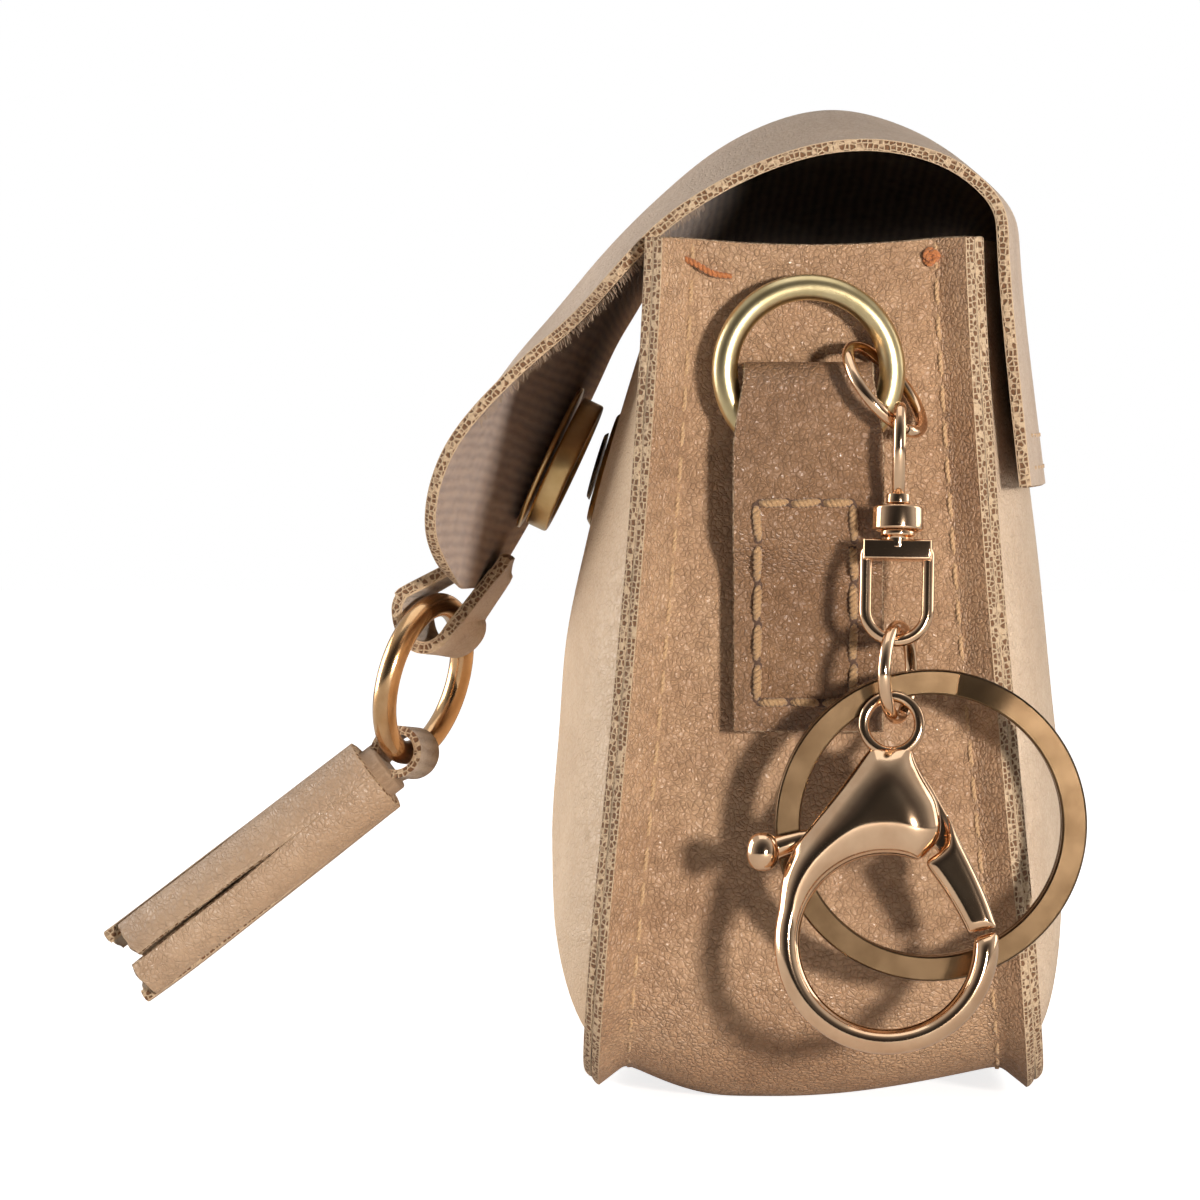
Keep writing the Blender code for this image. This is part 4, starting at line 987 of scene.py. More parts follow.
def makeSnap():
    here, along = alongFlap(snap["share"])
    inward = -Vector((0, along.z, -along.y))
    place = here + inward * (flap["thickness"] / 2 + seatGap * 1.6)
    washer = disc(snap["radius"], snap["washer"], 0.2 * mm)
    pieces = [("flap_snap_washer", turnedPiece("snap_washer_disc", washer, place, inward, snapBrass), "flap")]
    foot = place + inward * (snap["washer"] + seatGap)
    outer = snap["radius"] - snap["wall"]
    inner = snap["radius"] - 3 * snap["wall"]
    floor, rim = snap["wall"], snap["height"]
    cup = roundedProfile([(0, 0), (outer, 0), (outer, rim), (inner + 0.3 * mm, rim), (inner, rim - 0.4 * mm),
                          (inner, floor), (0, floor)], 0.35 * mm)
    pieces.append(("flap_snap_cup", turnedPiece("snap_cup_turned", cup, foot, inward, snapBrass, 96), "flap"))
    low, top = floor + seatGap, rim - snap["recess"]
    magnet = disc(inner - seatGap, top, 0.25 * mm, low)
    magnetPiece = turnedPiece("snap_magnet_disc", magnet, foot, inward, snapSteel)
    pieces.append(("flap_snap_magnet", magnetPiece, "flap"))
    z = snap["frontHeight"]
    rise = snap["radius"] / 2
    slope = Vector((0, -(frontY(0, z + rise) - frontY(0, z - rise)), 2 * rise)).normalized()
    out = Vector((0, -slope.z, slope.y))
    middle = Vector((0, -frontY(0, z), z))
    skinGap = shell["leather"] / 2 + seatGap
    plate = disc(snap["radius"] * snap["plateShare"], snap["plate"], 0.2 * mm, taper=0.9)
    platePiece = turnedPiece("snap_plate_disc", plate, middle + out * skinGap, out, snapBrass)
    pieces.append(("front_snap_plate", platePiece, "pouch"))
    stud = disc(snap["studRadius"], snap["studHeight"], 0.15 * mm, taper=0.9)
    seat = middle + out * (skinGap + snap["plate"] + seatGap)
    pieces.append(("front_snap_stud", turnedPiece("snap_stud_disc", stud, seat, out, snapSteel), "pouch"))
    for node, piece, body in pieces:
        standIn(piece, node, body)


makeSnap()
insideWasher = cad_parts["front_snap_washer"]
insideWasher.data.materials.clear()
insideWasher.data.materials.append(snapSteel)


# Side tab with its ring

tab = {
    "halfWidth": 7.2 * mm,
    "neckHalfWidth": 6.2 * mm,
    "top": 74.2 * mm,
    "bottom": 38.2 * mm,
    "centre": -0.5 * mm,
    "leaf": 1.3 * mm,
    "unevenness": 0.12 * mm,
    # how far from the fold the neck begins to widen, and over what share
    "neckShares": (0.10, 0.22),
    "ringRadius": 8.15 * mm,
    "ringHeight": 73.3 * mm,
    "heavyWire": 1.28 * mm,
    "lightWire": 0.62 * mm,
}
innerLeaf = shell["seamHalfWidth"] + shell["leather"] / 2 + shell["sideBulge"] + seatGap + tab["leaf"] / 2
leafGap = 2 * tab["heavyWire"] + 2 * seatGap
outerLeaf = innerLeaf + tab["leaf"] + leafGap
ringX = (innerLeaf + outerLeaf) / 2


def tabHalf(share):
    off = abs(share - 0.5) * 2
    begin, span = tab["neckShares"]
    return mixed(tab["neckHalfWidth"], tab["halfWidth"], smooth((off - begin) / span))


# middle of the outer leaf, which closes on the inner one below the ring
def outerLeafX(z):
    share = smooth((tab["top"] - z - 2.6 * tab["ringRadius"] / 1.35) / (tab["ringRadius"] * 0.7))
    return outerLeaf - (leafGap - seatGap) * share


def makeTab():
    reach = (outerLeaf - innerLeaf) / 2
    turnHeight = tab["top"] - tab["leaf"] / 2 - reach
    path = []
    leg, bends = 60, 24
    for i in range(leg):
        path.append((innerLeaf, mixed(tab["bottom"], turnHeight, i / leg)))
    for i in range(bends + 1):
        turn = math.pi * i / bends
        path.append((ringX - reach * math.cos(turn), turnHeight + reach * math.sin(turn)))
    for i in range(leg - 1, -1, -1):
        z = mixed(tab["bottom"], turnHeight, i / leg)
        path.append((outerLeafX(z), z))
    rows = []
    columns = 24
    for i, (x, z) in enumerate(path):
        half = tabHalf(i / (len(path) - 1))
        line = []
        for j in range(columns + 1):
            y = half * (2 * j / columns - 1)
            soft = 0.0
            if x > ringX:
                soft = tab["unevenness"] * (wobble((y, z, x), 6 * mm) - (y / half) ** 2)
            line.append(Vector((x + soft, tab["centre"] + y, z)))
        rows.append(line)
    strap = sheetFrom("side_tab_strap", rows, tab["leaf"] * 0.98, [tabSkin, tabBacking, thinEdge])
    standIn(strap, "side_ring_tab", "pouch")


makeTab()


ringPlace = Vector((ringX, tab["centre"], tab["ringHeight"]))
sideRing = wireRing("side_ring_wire", ringPlace, (0, 1, 0), (0, 0, 1), tab["ringRadius"], tab["heavyWire"],
                    champagne, steps=160)
standIn(sideRing, "side_ring", "tab_ring")


# Chain: jump ring, swivel, jump ring

chain = {
    "upperRadius": 5.15 * mm,
    "upperPlace": Vector((52.7 * mm, 6.9 * mm, 71.5 * mm)),
    "upperLean": math.radians(40.0),
    "upperTurn": math.radians(20.0),
    "swivelTop": Vector((55.6 * mm, 8.3 * mm, 69.7 * mm)),
    "bailBottom": Vector((59.0 * mm, 7.9 * mm, 47.4 * mm)),
    "eyeRadius": 3.3 * mm,
    "eyeStretch": 1.8 * mm,
    "eyeNarrowing": 0.45,
    "collarRadius": 1.15 * mm,
    "drumRadius": 2.45 * mm,
    "drumHeight": 2.3 * mm,
    "drumWall": 0.5 * mm,
    "bailHalfWidth": 3.0 * mm,
    "bailWire": 0.6 * mm,
    "yokeHalfHeight": 1.0 * mm,
    "yokeDepth": 2.2 * mm,
    "yokeEdge": 0.3 * mm,
    "lowerRadius": 4.4 * mm,
    "lowerTurn": math.radians(18.0),
}
chainWay = (chain["bailBottom"] - chain["swivelTop"]).normalized()


def alongChain(distance):
    return chain["swivelTop"] + chainWay * distance


def closedWire(name, path, wire):
    return objectFrom(name, skin(tubeRings(path, wire, 20, closed=True), closed=True), [roseGold], sharp=60)


def makeChain():
    lean, turn = chain["upperLean"], chain["upperTurn"]
    down = Vector((0, math.sin(lean), -math.cos(lean)))
    left = Vector((0, -math.cos(lean), -math.sin(lean)))
    near = Vector((1, 0, 0)) * math.cos(turn) + left * math.sin(turn)
    upper = wireRing("upper_jump_wire", chain["upperPlace"], down, near, chain["upperRadius"],
                     tab["lightWire"], roseGold, gapTurn=math.radians(35), gap=math.radians(2.2), sides=20)
    standIn(upper, "upper_jump_ring", "upper_link")
    side = chainWay.cross(Vector((0, 1, 0))).normalized()
    start = 2 * chain["eyeRadius"] + chain["eyeStretch"]
    loop = []
    for i in range(90):
        turn = 2 * math.pi * i / 90
        low = (1 - math.cos(turn)) / 2
        reach = chain["eyeRadius"] * math.sin(turn) * (1 - chain["eyeNarrowing"] * low)
        loop.append(alongChain(start * low) + side * reach)
    eye = closedWire("swivel_eye_wire", loop, tab["lightWire"])
    drumStart = start + 2 * tab["lightWire"]
    shankRadius = chain["collarRadius"] - 2 * seatGap
    headRadius = chain["drumRadius"] - chain["drumWall"] - seatGap
    collarEnd = drumStart - seatGap - start
    headStart = drumStart + chain["drumWall"] + seatGap - start
    headEnd = headStart + chain["drumWall"]
    shank = roundedProfile([(0, 0), (chain["collarRadius"], 0), (chain["collarRadius"], collarEnd),
                            (shankRadius, collarEnd), (shankRadius, headStart), (headRadius, headStart),
                            (headRadius, headEnd), (0, headEnd)], 0.12 * mm)
    stem = turnedPiece("swivel_stem_turned", shank, alongChain(start), chainWay, roseGold)
    standIn(eye, "swivel_eye", "swivel_head")
    dressed(stem, "swivel_head")
    hole = chain["collarRadius"] - seatGap
    inner = chain["drumRadius"] - chain["drumWall"]
    height, wall, radius = chain["drumHeight"], chain["drumWall"], chain["drumRadius"]
    drum = roundedProfile([(hole, 0), (radius, 0), (radius, height), (inner, height), (inner, wall),
                           (hole, wall)], 0.3 * mm, 4)
    drumPiece = turnedPiece("swivel_drum_turned", drum + drum[:1], alongChain(drumStart), chainWay,
                            roseGold, 72)
    standIn(drumPiece, "swivel_drum", "swivel_body")
    cross = (Vector((0, 1, 0)) - chainWay * chainWay.y).normalized()
    wire, wide = chain["bailWire"], chain["bailHalfWidth"]
    top = drumStart + height + seatGap + 2 * wire
    bottom = (chain["bailBottom"] - chain["swivelTop"]).length
    corner = wire * 1.6
    straight = bottom - top - wide
    limb = []
    for i in range(13):
        turn = math.pi / 2 * (1 - i / 12)
        limb.append((wide - corner + corner * math.cos(turn), corner - corner * math.sin(turn)))
    limb += [(wide, mixed(corner, straight, i / 8)) for i in range(1, 8)]
    bends = [math.pi * i / 40 for i in range(41)]
    flat = limb + [(wide * math.cos(turn), straight + wide * math.sin(turn)) for turn in bends]
    flat += [(-across, low) for across, low in reversed(limb)]
    path = [alongChain(top) + cross * across + chainWay * low for across, low in flat]
    bail = closedWire("swivel_bail_wire", path, wire)
    collar, seat = chain["collarRadius"], inner - seatGap
    plug = roundedProfile([(0, 0), (seat, 0), (seat, wire), (collar, wire * 1.2), (collar, 3 * wire),
                           (0, 3 * wire)], 0.15 * mm)
    plugPiece = turnedPiece("swivel_plug_turned", plug, alongChain(top - 2.6 * wire), chainWay, roseGold)
    standIn(bail, "swivel_bail", "swivel_body")
    reach, tall = wide + wire / 2, chain["yokeHalfHeight"]
    bar = rolledPlate([(-reach, -tall), (reach, -tall), (reach, tall), (-reach, tall)], chain["yokeDepth"],
                      chain["yokeEdge"])
    axes = Matrix((cross.cross(chainWay), cross, chainWay)).transposed().to_4x4()
    axes.translation = alongChain(top + tall - wire)
    yoke = objectFrom("swivel_yoke", turned(bar, axes), [roseGold], sharp=35)
    dressed(yoke, "swivel_body")
    dressed(plugPiece, "swivel_body")
    lowerSide = Vector((math.cos(chain["lowerTurn"]), -math.sin(chain["lowerTurn"]), 0))
    hang = chain["lowerRadius"] - wire - tab["lightWire"] - 0.15 * mm
    place = Vector((59.0 * mm, 8.1 * mm, chain["bailBottom"].z - hang))
    lower = wireRing("lower_jump_wire", place, (0, 0, 1), lowerSide, chain["lowerRadius"],
                     tab["lightWire"], roseGold, gapTurn=math.radians(200), gap=math.radians(2.5),
                     steps=100, sides=20)
    standIn(lower, "lower_jump_ring", "lower_link")


print("making the chain")
makeChain()


# Lobster clasp, drawn in its own plane

clasp = {
    "place": Vector((60.0 * mm, 7.5 * mm, 39.4 * mm)),
    "lean": math.radians(9.0),
    "hookCentre": (-0.5 * mm, -20.8 * mm),
    "hookOuter": 10.7 * mm,
    "hookInner": 8.3 * mm,
    "thickness": 2.8 * mm,
    "eyeThickness": 1.4 * mm,
    "eyeOuter": 3.2 * mm,
    "eyeHole": 2.15 * mm,
    "eyeEdge": 0.55 * mm,
    "pin": (2.2 * mm, -8.2 * mm),
    "pinRadius": 0.6 * mm,
    "pinHead": 1.2 * mm,
    "pinFrontWall": 0.6 * mm,
    "pinCap": 0.4 * mm,
    # the body's outline in mm, across and up from the middle of its eye
    "flank": [(-1.9, -2.1), (-3.0, -3.5), (-5.1, -6.4), (-7.5, -9.5), (-9.3, -11.9), (-10.4, -14.6),
              (-10.8, -17.9)],
    "shoulder": [(4.2, -11.5), (4.75, -10.1), (4.4, -7.4), (3.3, -5.4), (2.3, -3.5), (1.9, -2.1)],
    "gateOuter": [(5.1, -8.0), (5.6, -9.2), (6.75, -11.6), (8.1, -14.4), (9.2, -17.0), (10.0, -19.4)],
    "gateInner": [(7.3, -20.0), (6.1, -17.7), (4.8, -15.6), (3.4, -13.6), (3.5, -12.95), (4.75, -12.0),
                  (5.3, -11.2), (5.45, -9.6)],
    # the lever's blade behind the body, clockwise from the knob over the pin and down beside the gate
    "blade": [(-0.4, -6.9), (1.2, -5.2), (2.7, -4.1), (3.9, -5.9), (5.5, -8.8), (6.7, -11.5),
              (7.5, -13.4), (6.6, -15.0), (3.0, -10.1), (-0.2, -9.6)],
    "hookStart": math.radians(164.0),
    "shoulderTurn": math.radians(68.0),
    "hookTip": math.radians(3.0),
    "tipSlant": math.radians(3.0),
    # the short post that joins the gate to its lever behind the body
    "postTurn": math.radians(46.0),
    "postInset": 1.3 * mm,
    "postRadius": 0.9 * mm,
    "gateThickness": 2.0 * mm,
    "leverGap": 0.25 * mm,
    "lever": 0.8 * mm,
    "knob": (-12.3 * mm, -12.2 * mm),
    "knobRadius": 1.55 * mm,
    "shaftForward": 0.4 * mm,
    # thickness of the shaft from the knob inwards: radius, distance in mm
    "shaft": [(0.0, 0.0), (1.2, 0.0), (1.1, 2.6), (0.95, 4.0), (0.6, 5.4), (0.4, 6.4), (0.0, 6.6)],
}


def onHook(radius, turn):
    y, z = clasp["hookCentre"]
    return (y + radius * math.cos(turn), z + radius * math.sin(turn))


def hookArc(radius, start, end, steps):
    return [onHook(radius, mixed(start, end, i / steps)) for i in range(steps + 1)]


# how far a place lies inside an outline
def edgeDistance(y, z, outline):
    nearest = 1.0
    for k in range(len(outline)):
        ay, az = outline[k - 1]
        by, bz = outline[k]
        wy, wz = by - ay, bz - az
        f = max(0.0, min(1.0, ((y - ay) * wy + (z - az) * wz) / max(1e-12, wy * wy + wz * wz)))
        nearest = min(nearest, math.hypot(y - ay - wy * f, z - az - wz * f))
    return nearest


# a thick casting: every limb is round in section and the wide body swells in the middle
def domedCasting(outline, thickness, dome):
    mesh = bpy.data.meshes.new("casting")
    rolledPlate(outline, thickness, 0.08 * mm, 2).to_mesh(mesh)
    rough = bpy.data.objects.new("casting", mesh)
    bpy.context.collection.objects.link(rough)
    voxels = rough.modifiers.new("even", "REMESH")
    voxels.mode = "VOXEL"
    voxels.voxel_size = dome["voxel"]
    evenShape = rough.evaluated_get(bpy.context.evaluated_depsgraph_get())
    bm = bmesh.new()
    bm.from_mesh(evenShape.to_mesh())
    bpy.data.objects.remove(rough, do_unlink=True)
    half = thickness / 2
    for v in bm.verts:
        d = edgeDistance(v.co.y, v.co.z, outline)
        roundness = math.sqrt(max(0.0, 1 - (1 - min(d / dome["limb"], 1.0)) ** 2))
        inside = max(0.0, min(1.0, (d - 0.5 * dome["limb"]) / dome["reach"]))
        swell = dome["swell"] * math.sin(math.pi / 2 * inside)
        slim = mixed(dome["neck"], 1.0, smooth((dome["neckTop"] - v.co.z) / dome["neckLength"]))
        front = swell if v.co.x > 0 else 0.0
        v.co.x *= (dome["edge"] + (half - dome["edge"]) * roundness + front) / half * slim
    for _ in range(dome["passes"]):
        bmesh.ops.smooth_vert(bm, verts=bm.verts[:], factor=0.5, use_axis_x=True, use_axis_y=True,
                              use_axis_z=True)
    return bm


claspTurn = (0, -clasp["lean"], 0)
acrossClasp = Matrix.Rotation(math.pi / 2, 4, "Y")
claspDome = {"voxel": 0.2 * mm, "limb": 1.25 * mm, "edge": 0.25 * mm, "swell": 0.9 * mm,
             "reach": 2.8 * mm, "passes": 26, "neck": 0.72, "neckTop": -1.2 * mm, "neckLength": 5.0 * mm}
gateDome = {**claspDome, "voxel": 0.16 * mm, "limb": 0.95 * mm, "edge": 0.2 * mm, "swell": 0.0,
            "reach": 1.0 * mm, "passes": 6, "neck": 1.0}


# shift is in the clasp's own plane, before it leans
def placedOnClasp(name, bm, shift=Vector(), sharp=40):
    bmesh.ops.translate(bm, vec=shift, verts=bm.verts[:])
    turned(bm, Euler(claspTurn).to_matrix().to_4x4(), clasp["place"])
    return objectFrom(name, bm, [roseGold], sharp=sharp)


# a smooth run of outline points through knots given in mm
def flowing(knots, steps):
    run = [curveThrough([(0, y * mm, z * mm) for y, z in knots], i / steps) for i in range(steps + 1)]
    return [(p.y, p.z) for p in run]


def makeClasp():
    full = 2 * math.pi + clasp["hookTip"]
    outline = flowing(clasp["flank"], 30)
    outline += hookArc(clasp["hookOuter"], clasp["hookStart"], full + clasp["tipSlant"], 90)[1:]
    outline += hookArc(clasp["hookInner"], full, clasp["shoulderTurn"], 80)
    outline += flowing(clasp["shoulder"], 20)
    hook = placedOnClasp("clasp_hook", domedCasting(outline, clasp["thickness"], claspDome), sharp=180)
    standIn(hook, "clasp_body", "clasp")
    half = clasp["eyeThickness"] / 2
    loop = roundedProfile([(clasp["eyeHole"], -half), (clasp["eyeOuter"], -half), (clasp["eyeOuter"], half),
                           (clasp["eyeHole"], half)], clasp["eyeEdge"], 5)
    eye = placedOnClasp("clasp_eye_ring", turned(lathe(loop, 64), acrossClasp))
    dressed(eye, "clasp")
    pin = Vector((0, *clasp["pin"]))
    bar = flowing(clasp["gateOuter"], 24) + flowing(clasp["gateInner"], 30)
    gate = placedOnClasp("clasp_gate_bar", domedCasting(bar, clasp["gateThickness"], gateDome), sharp=180)
    standIn(gate, "clasp_gate", "gate")
    leverX = -(clasp["thickness"] / 2 + clasp["leverGap"] + clasp["lever"] / 2)
    ky, kz = clasp["knob"]
    corners = [(ky, kz + 0.5 * mm)] + [(y * mm, z * mm) for y, z in clasp["blade"]] + [(ky, kz - 0.5 * mm)]
    blade = rolledPlate(corners, clasp["lever"], 0.25 * mm, 3)
    lever = placedOnClasp("clasp_lever_blade", blade, Vector((leverX, 0, 0)))
    dressed(lever, "gate")
    bridge = onHook(clasp["hookOuter"] - clasp["postInset"], clasp["postTurn"])
    postRadius = clasp["postRadius"]
    postProfile = roundedProfile([(0, leverX), (postRadius, leverX), (postRadius, 0), (0, 0)], 0.1 * mm)
    post = turned(lathe(postProfile, 32), acrossClasp)
    postPiece = placedOnClasp("clasp_gate_post", post, Vector((0, *bridge)))
    dressed(postPiece, "gate")
    shaft = lathe(roundedProfile([(r * mm, h * mm) for r, h in clasp["shaft"]], 0.05 * mm), 40)
    inwards = (Vector((0, pin.y - 2.6 * mm, pin.z)) - Vector((0, ky, kz))).normalized()
    turn = inwards.to_track_quat("Z", "Y").to_matrix().to_4x4()
    shaftPlace = Vector((leverX + clasp["shaftForward"], ky, kz))
    shaftPiece = placedOnClasp("clasp_lever_shaft", turned(shaft, turn), shaftPlace)
    dressed(shaftPiece, "gate")
    r = clasp["knobRadius"]
    arcs = [math.pi * k / 20 for k in range(21)]
    ball = lathe([(r * math.sin(t) ** 0.8, -1.2 * r * math.cos(t)) for t in arcs], 48)
    knob = placedOnClasp("clasp_knob_ball", ball, Vector((leverX + r * 0.95, ky, kz)), sharp=80)
    dressed(knob, "gate")
    front = clasp["thickness"] / 2 - clasp["pinFrontWall"] - seatGap
    back = leverX - clasp["lever"] / 2 - seatGap
    cap, head = clasp["pinCap"], clasp["pinHead"]
    profile = [(0, back - cap), (head, back - cap), (head, back), (clasp["pinRadius"], back),
               (clasp["pinRadius"], front), (0, front)]
    rivet = turned(lathe(roundedProfile(profile, 0.18 * mm), 40), acrossClasp)
    standIn(placedOnClasp("clasp_rivet", rivet, pin), "clasp_pivot_pin", "clasp")


print("making the clasp")
makeClasp()
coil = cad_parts["clasp_spring"]
coil.data.materials.clear()
coil.data.materials.append(snapSteel)


# Flat split key ring

keys = {
    "place": Vector((57.65 * mm, 11.3 * mm, 29.6 * mm)),
    "outer": 15.0 * mm,
    "inner": 12.6 * mm,
    "turn": 1.05 * mm,
    "gap": 0.15 * mm,
    "edge": 0.2 * mm,
    "woundShare": 0.992,
    # where one turn crosses over to the other, and over what share
    "crossingShares": (0.47, 0.06),
    "begin": math.radians(74.0),
    "tilt": math.radians(3.5),
}


def makeKeyRing():
    pitch = keys["turn"] + keys["gap"]
    half = keys["turn"] / 2
    rings = []
    count = 360
    inner, outer, edge = keys["inner"], keys["outer"], keys["edge"]
    crossing, span = keys["crossingShares"]
    tilted = Matrix.Rotation(keys["tilt"], 3, "Z")
    for i in range(count + 1):
        share = i / count
        turn = keys["begin"] - 4 * math.pi * share * keys["woundShare"]
        x = pitch * (smooth((share - crossing) / span) - 0.5)
        section = [(inner, -half + edge), (inner + edge * 0.3, -half + edge * 0.3), (inner + edge, -half),
                   (outer - edge, -half), (outer - edge * 0.3, -half + edge * 0.3), (outer, -half + edge),
                   (outer, half - edge), (outer - edge * 0.3, half - edge * 0.3), (outer - edge, half),
                   (inner + edge, half), (inner + edge * 0.3, half - edge * 0.3), (inner, half - edge)]
        rings.append([keys["place"] + tilted @ Vector((x + d, r * math.cos(turn), r * math.sin(turn)))
                      for r, d in section])
    return objectFrom("key_ring_wound", skin(rings), [antiqueGold], sharp=18)


standIn(makeKeyRing(), "key_ring", "keys")


# Tassel at the tip: tab, ring, narrow loop and fringed roll

tassel = {
    "ringRadius": 8.2 * mm,
    "ringPlace": Vector((0, -41.8 * mm, 40.7 * mm)),
    "ringLean": math.radians(14.4),
    "ringTurn": math.radians(23.0),
    "tabHalfWidth": 3.8 * mm,
    "tabDrop": 3.5 * mm,
    "tabGrip": 4.2 * mm,
    "tabEase": 0.3 * mm,
    "ringRoom": 1.0 * mm,
    "way": Vector((0, -0.79, -0.613)).normalized(),
    "length": 36.0 * mm,
    "radius": 4.4 * mm,
    "headOverlap": 2.4 * mm,
    "slitStart": 0.32,
    "loopHalfWidth": 2.2 * mm,
    "loop": 0.9 * mm,
    "loopOpening": math.radians(38.0),
    "loopEnds": 0.75 * mm,
    "fringes": 5,
    "firstTurn": 0.4,
    "uneven": 0.07,
    "ragged": 0.6 * mm,
    "strip": 1.4 * mm,
    "flare": 0.07,
    "buckle": 0.25 * mm,
    "sway": 0.5 * mm,
}
tipLean, tipTurn = tassel["ringLean"], tassel["ringTurn"]
tipDown = Vector((0, -math.sin(tipLean), -math.cos(tipLean)))
tipLeft = Vector((0, -math.cos(tipLean), math.sin(tipLean)))
tipNear = Vector((1, 0, 0)) * math.cos(tipTurn) + tipLeft * math.sin(tipTurn)


# rows of points for a flat band along a path; across gives the direction over the band
def bandRows(path, half, across, columns, soft):
    rows = []
    for i, here in enumerate(path):
        wide = across(i / (len(path) - 1)) if callable(across) else across
        line = []
        for j in range(columns + 1):
            p = here + wide * (half * (2 * j / columns - 1))
            line.append(p + Vector((0, 1, 1)) * soft * wobble(p, 5 * mm, 9.0))
        rows.append(line)
    return rows


def makeTipTab():
    tip, along = flapPoint(1.0, 0.5), (flapPoint(1.0, 0.5) - flapPoint(0.93, 0.5)).normalized()
    out = Vector((0, along.z, -along.y))
    seat = (flap["thickness"] + tab["leaf"]) / 2 + seatGap + tassel["tabEase"]
    bar = tassel["ringPlace"] - tipDown * tassel["ringRadius"]
    wide = tab["heavyWire"] + seatGap + tab["leaf"] / 2 + tassel["ringRoom"]
    deep = tab["heavyWire"] + tassel["tabDrop"]
    grip = [tip - along * (tassel["tabGrip"] * f) + out * seat for f in (1.0, 0.85, 0.7, 0.55, 0.4)]
    knots = list(grip)
    for i in range(31):
        turn = math.pi * i / 30
        knots.append(bar + out * (wide * math.cos(turn)) + tipDown * (deep * math.sin(turn)))
    knots += [p - out * (2 * seat) for p in reversed(grip)]
    path = [curveThrough(knots, i / 140) for i in range(141)]

    def across(share):
        return Vector((1, 0, 0)).lerp(tipNear, smooth(2.2 * (1 - abs(2 * share - 1)))).normalized()

    rows = bandRows(path, tassel["tabHalfWidth"], across, 16, 0.08 * mm)
    strap = sheetFrom("tassel_tab_strap", rows, tab["leaf"], [flapSkin, tabBacking, thinEdge])
    standIn(strap, "tassel_tab", "flap")


def makeTassel():
    ring = wireRing("tassel_ring_wire", tassel["ringPlace"], tipDown, tipNear, tassel["ringRadius"],
                    tab["heavyWire"], tipGold, steps=150)
    standIn(ring, "tassel_ring", "tip_ring")
    way = tassel["way"]
    hook = tassel["ringPlace"] + tipDown * tassel["ringRadius"]
    side = way.cross(tipNear).normalized()
    inner = tab["heavyWire"] + 2 * seatGap + tassel["loop"] * 0.6
    path = []
    for i in range(61):
        turn = mixed(tassel["loopOpening"], 2 * math.pi - tassel["loopOpening"], i / 60)
        path.append(hook + way * (inner * math.cos(turn)) + side * (inner * math.sin(turn)))
    neck = inner * 1.9
    ends = [hook + way * neck + side * tassel["loopEnds"], hook + way * neck - side * tassel["loopEnds"]]
    first = [ends[0].lerp(path[0], i / 6) for i in range(6)]
    last = [path[-1].lerp(ends[1], (i + 1) / 6) for i in range(6)]
    rows = bandRows(first + path + last, tassel["loopHalfWidth"], tipNear, 10, 0.05 * mm)
    loop = sheetFrom("tassel_loop_strap", rows, tassel["loop"], [tasselSkin, tabBacking, thinEdge])
    standIn(loop, "tassel_loop", "tassel")
    start = hook + way * (neck - tassel["headOverlap"])
    wide = way.orthogonal().normalized()
    high = way.cross(wide)
    radius, length = tassel["radius"], tassel["length"]
    inside = radius - tassel["strip"] - 0.1 * mm
    core = lathe(disc(inside, length * 0.3, 0.3 * mm))
    turn = way.to_track_quat("Z", "Y").to_matrix().to_4x4()
    roll = objectFrom("tassel_roll", turned(core, turn, start), [tasselSkin], sharp=50)
    standIn(roll, "tassel_skirt", "tassel")
    count = tassel["fringes"]
    for k in range(count):
        centre = 2 * math.pi * k / count + tassel["firstTurn"]
        end = length * (1.0 - tassel["uneven"] * ((k * 2) % 5) / 4)
        rows = []
        for i in range(49):
            share = i / 48
            line = []
            for j in range(15):
                over = 2 * j / 14 - 1
                opening = smooth((share - tassel["slitStart"]) / 0.3)
                at = centre - math.pi / count * over * mixed(1.0, 0.88, opening)
                r = radius * (0.98 + tassel["flare"] * share) - tassel["strip"] / 2
                r += tassel["buckle"] * share * wobble((k, share * 2, 3), 1.0)
                cut = tassel["ragged"] * wobble((k, over * 1.5, 7), 1.0) * share
                p = start + way * (mixed(length * 0.05, end, share) + cut)
                p = p + (wide * math.cos(at) + high * math.sin(at)) * r
                line.append(p + side * (tassel["sway"] * share ** 2 * wobble((k, share * 1.3, 0), 1.0)))
            rows.append(line)
        strip = sheetFrom("tassel_fringe_%d" % k, rows, tassel["strip"], [tasselSkin, tabBacking, thinEdge])
        dressed(strip, "tassel")


print("making the tassel")
makeTipTab()
makeTassel()


# Thread: seams, flap rows, box stitch on the side tab, and the loose ends at the mouth

sewing = {
    "thread": 0.42 * mm,
    "twists": 3.2,
    "boxLeft": -5.45 * mm,
    "boxRight": 3.9 * mm,
    "boxTop": 60.5 * mm,
    "boxBottom": 41.0 * mm,
    "boxStitches": (3, 5),
    "hole": 0.42 * mm,
    "stray": 0.12 * mm,
    "seamThread": 0.25 * mm,
    "seamPitch": 3.5 * mm,
    "seamSunk": 0.08 * mm,
    "rowRises": (1.8 * mm, 5.0 * mm),
    "looseEnd": [(-13.2 * mm, 84.6 * mm, 0.2 * mm), (-11.7 * mm, 83.9 * mm, 0.9 * mm),
                 (-9.9 * mm, 82.9 * mm, 1.0 * mm), (-8.1 * mm, 82.6 * mm, 0.7 * mm)],
    "knot": (11.5 * mm, 84.5 * mm),
    "knotRadius": 0.5 * mm,
}


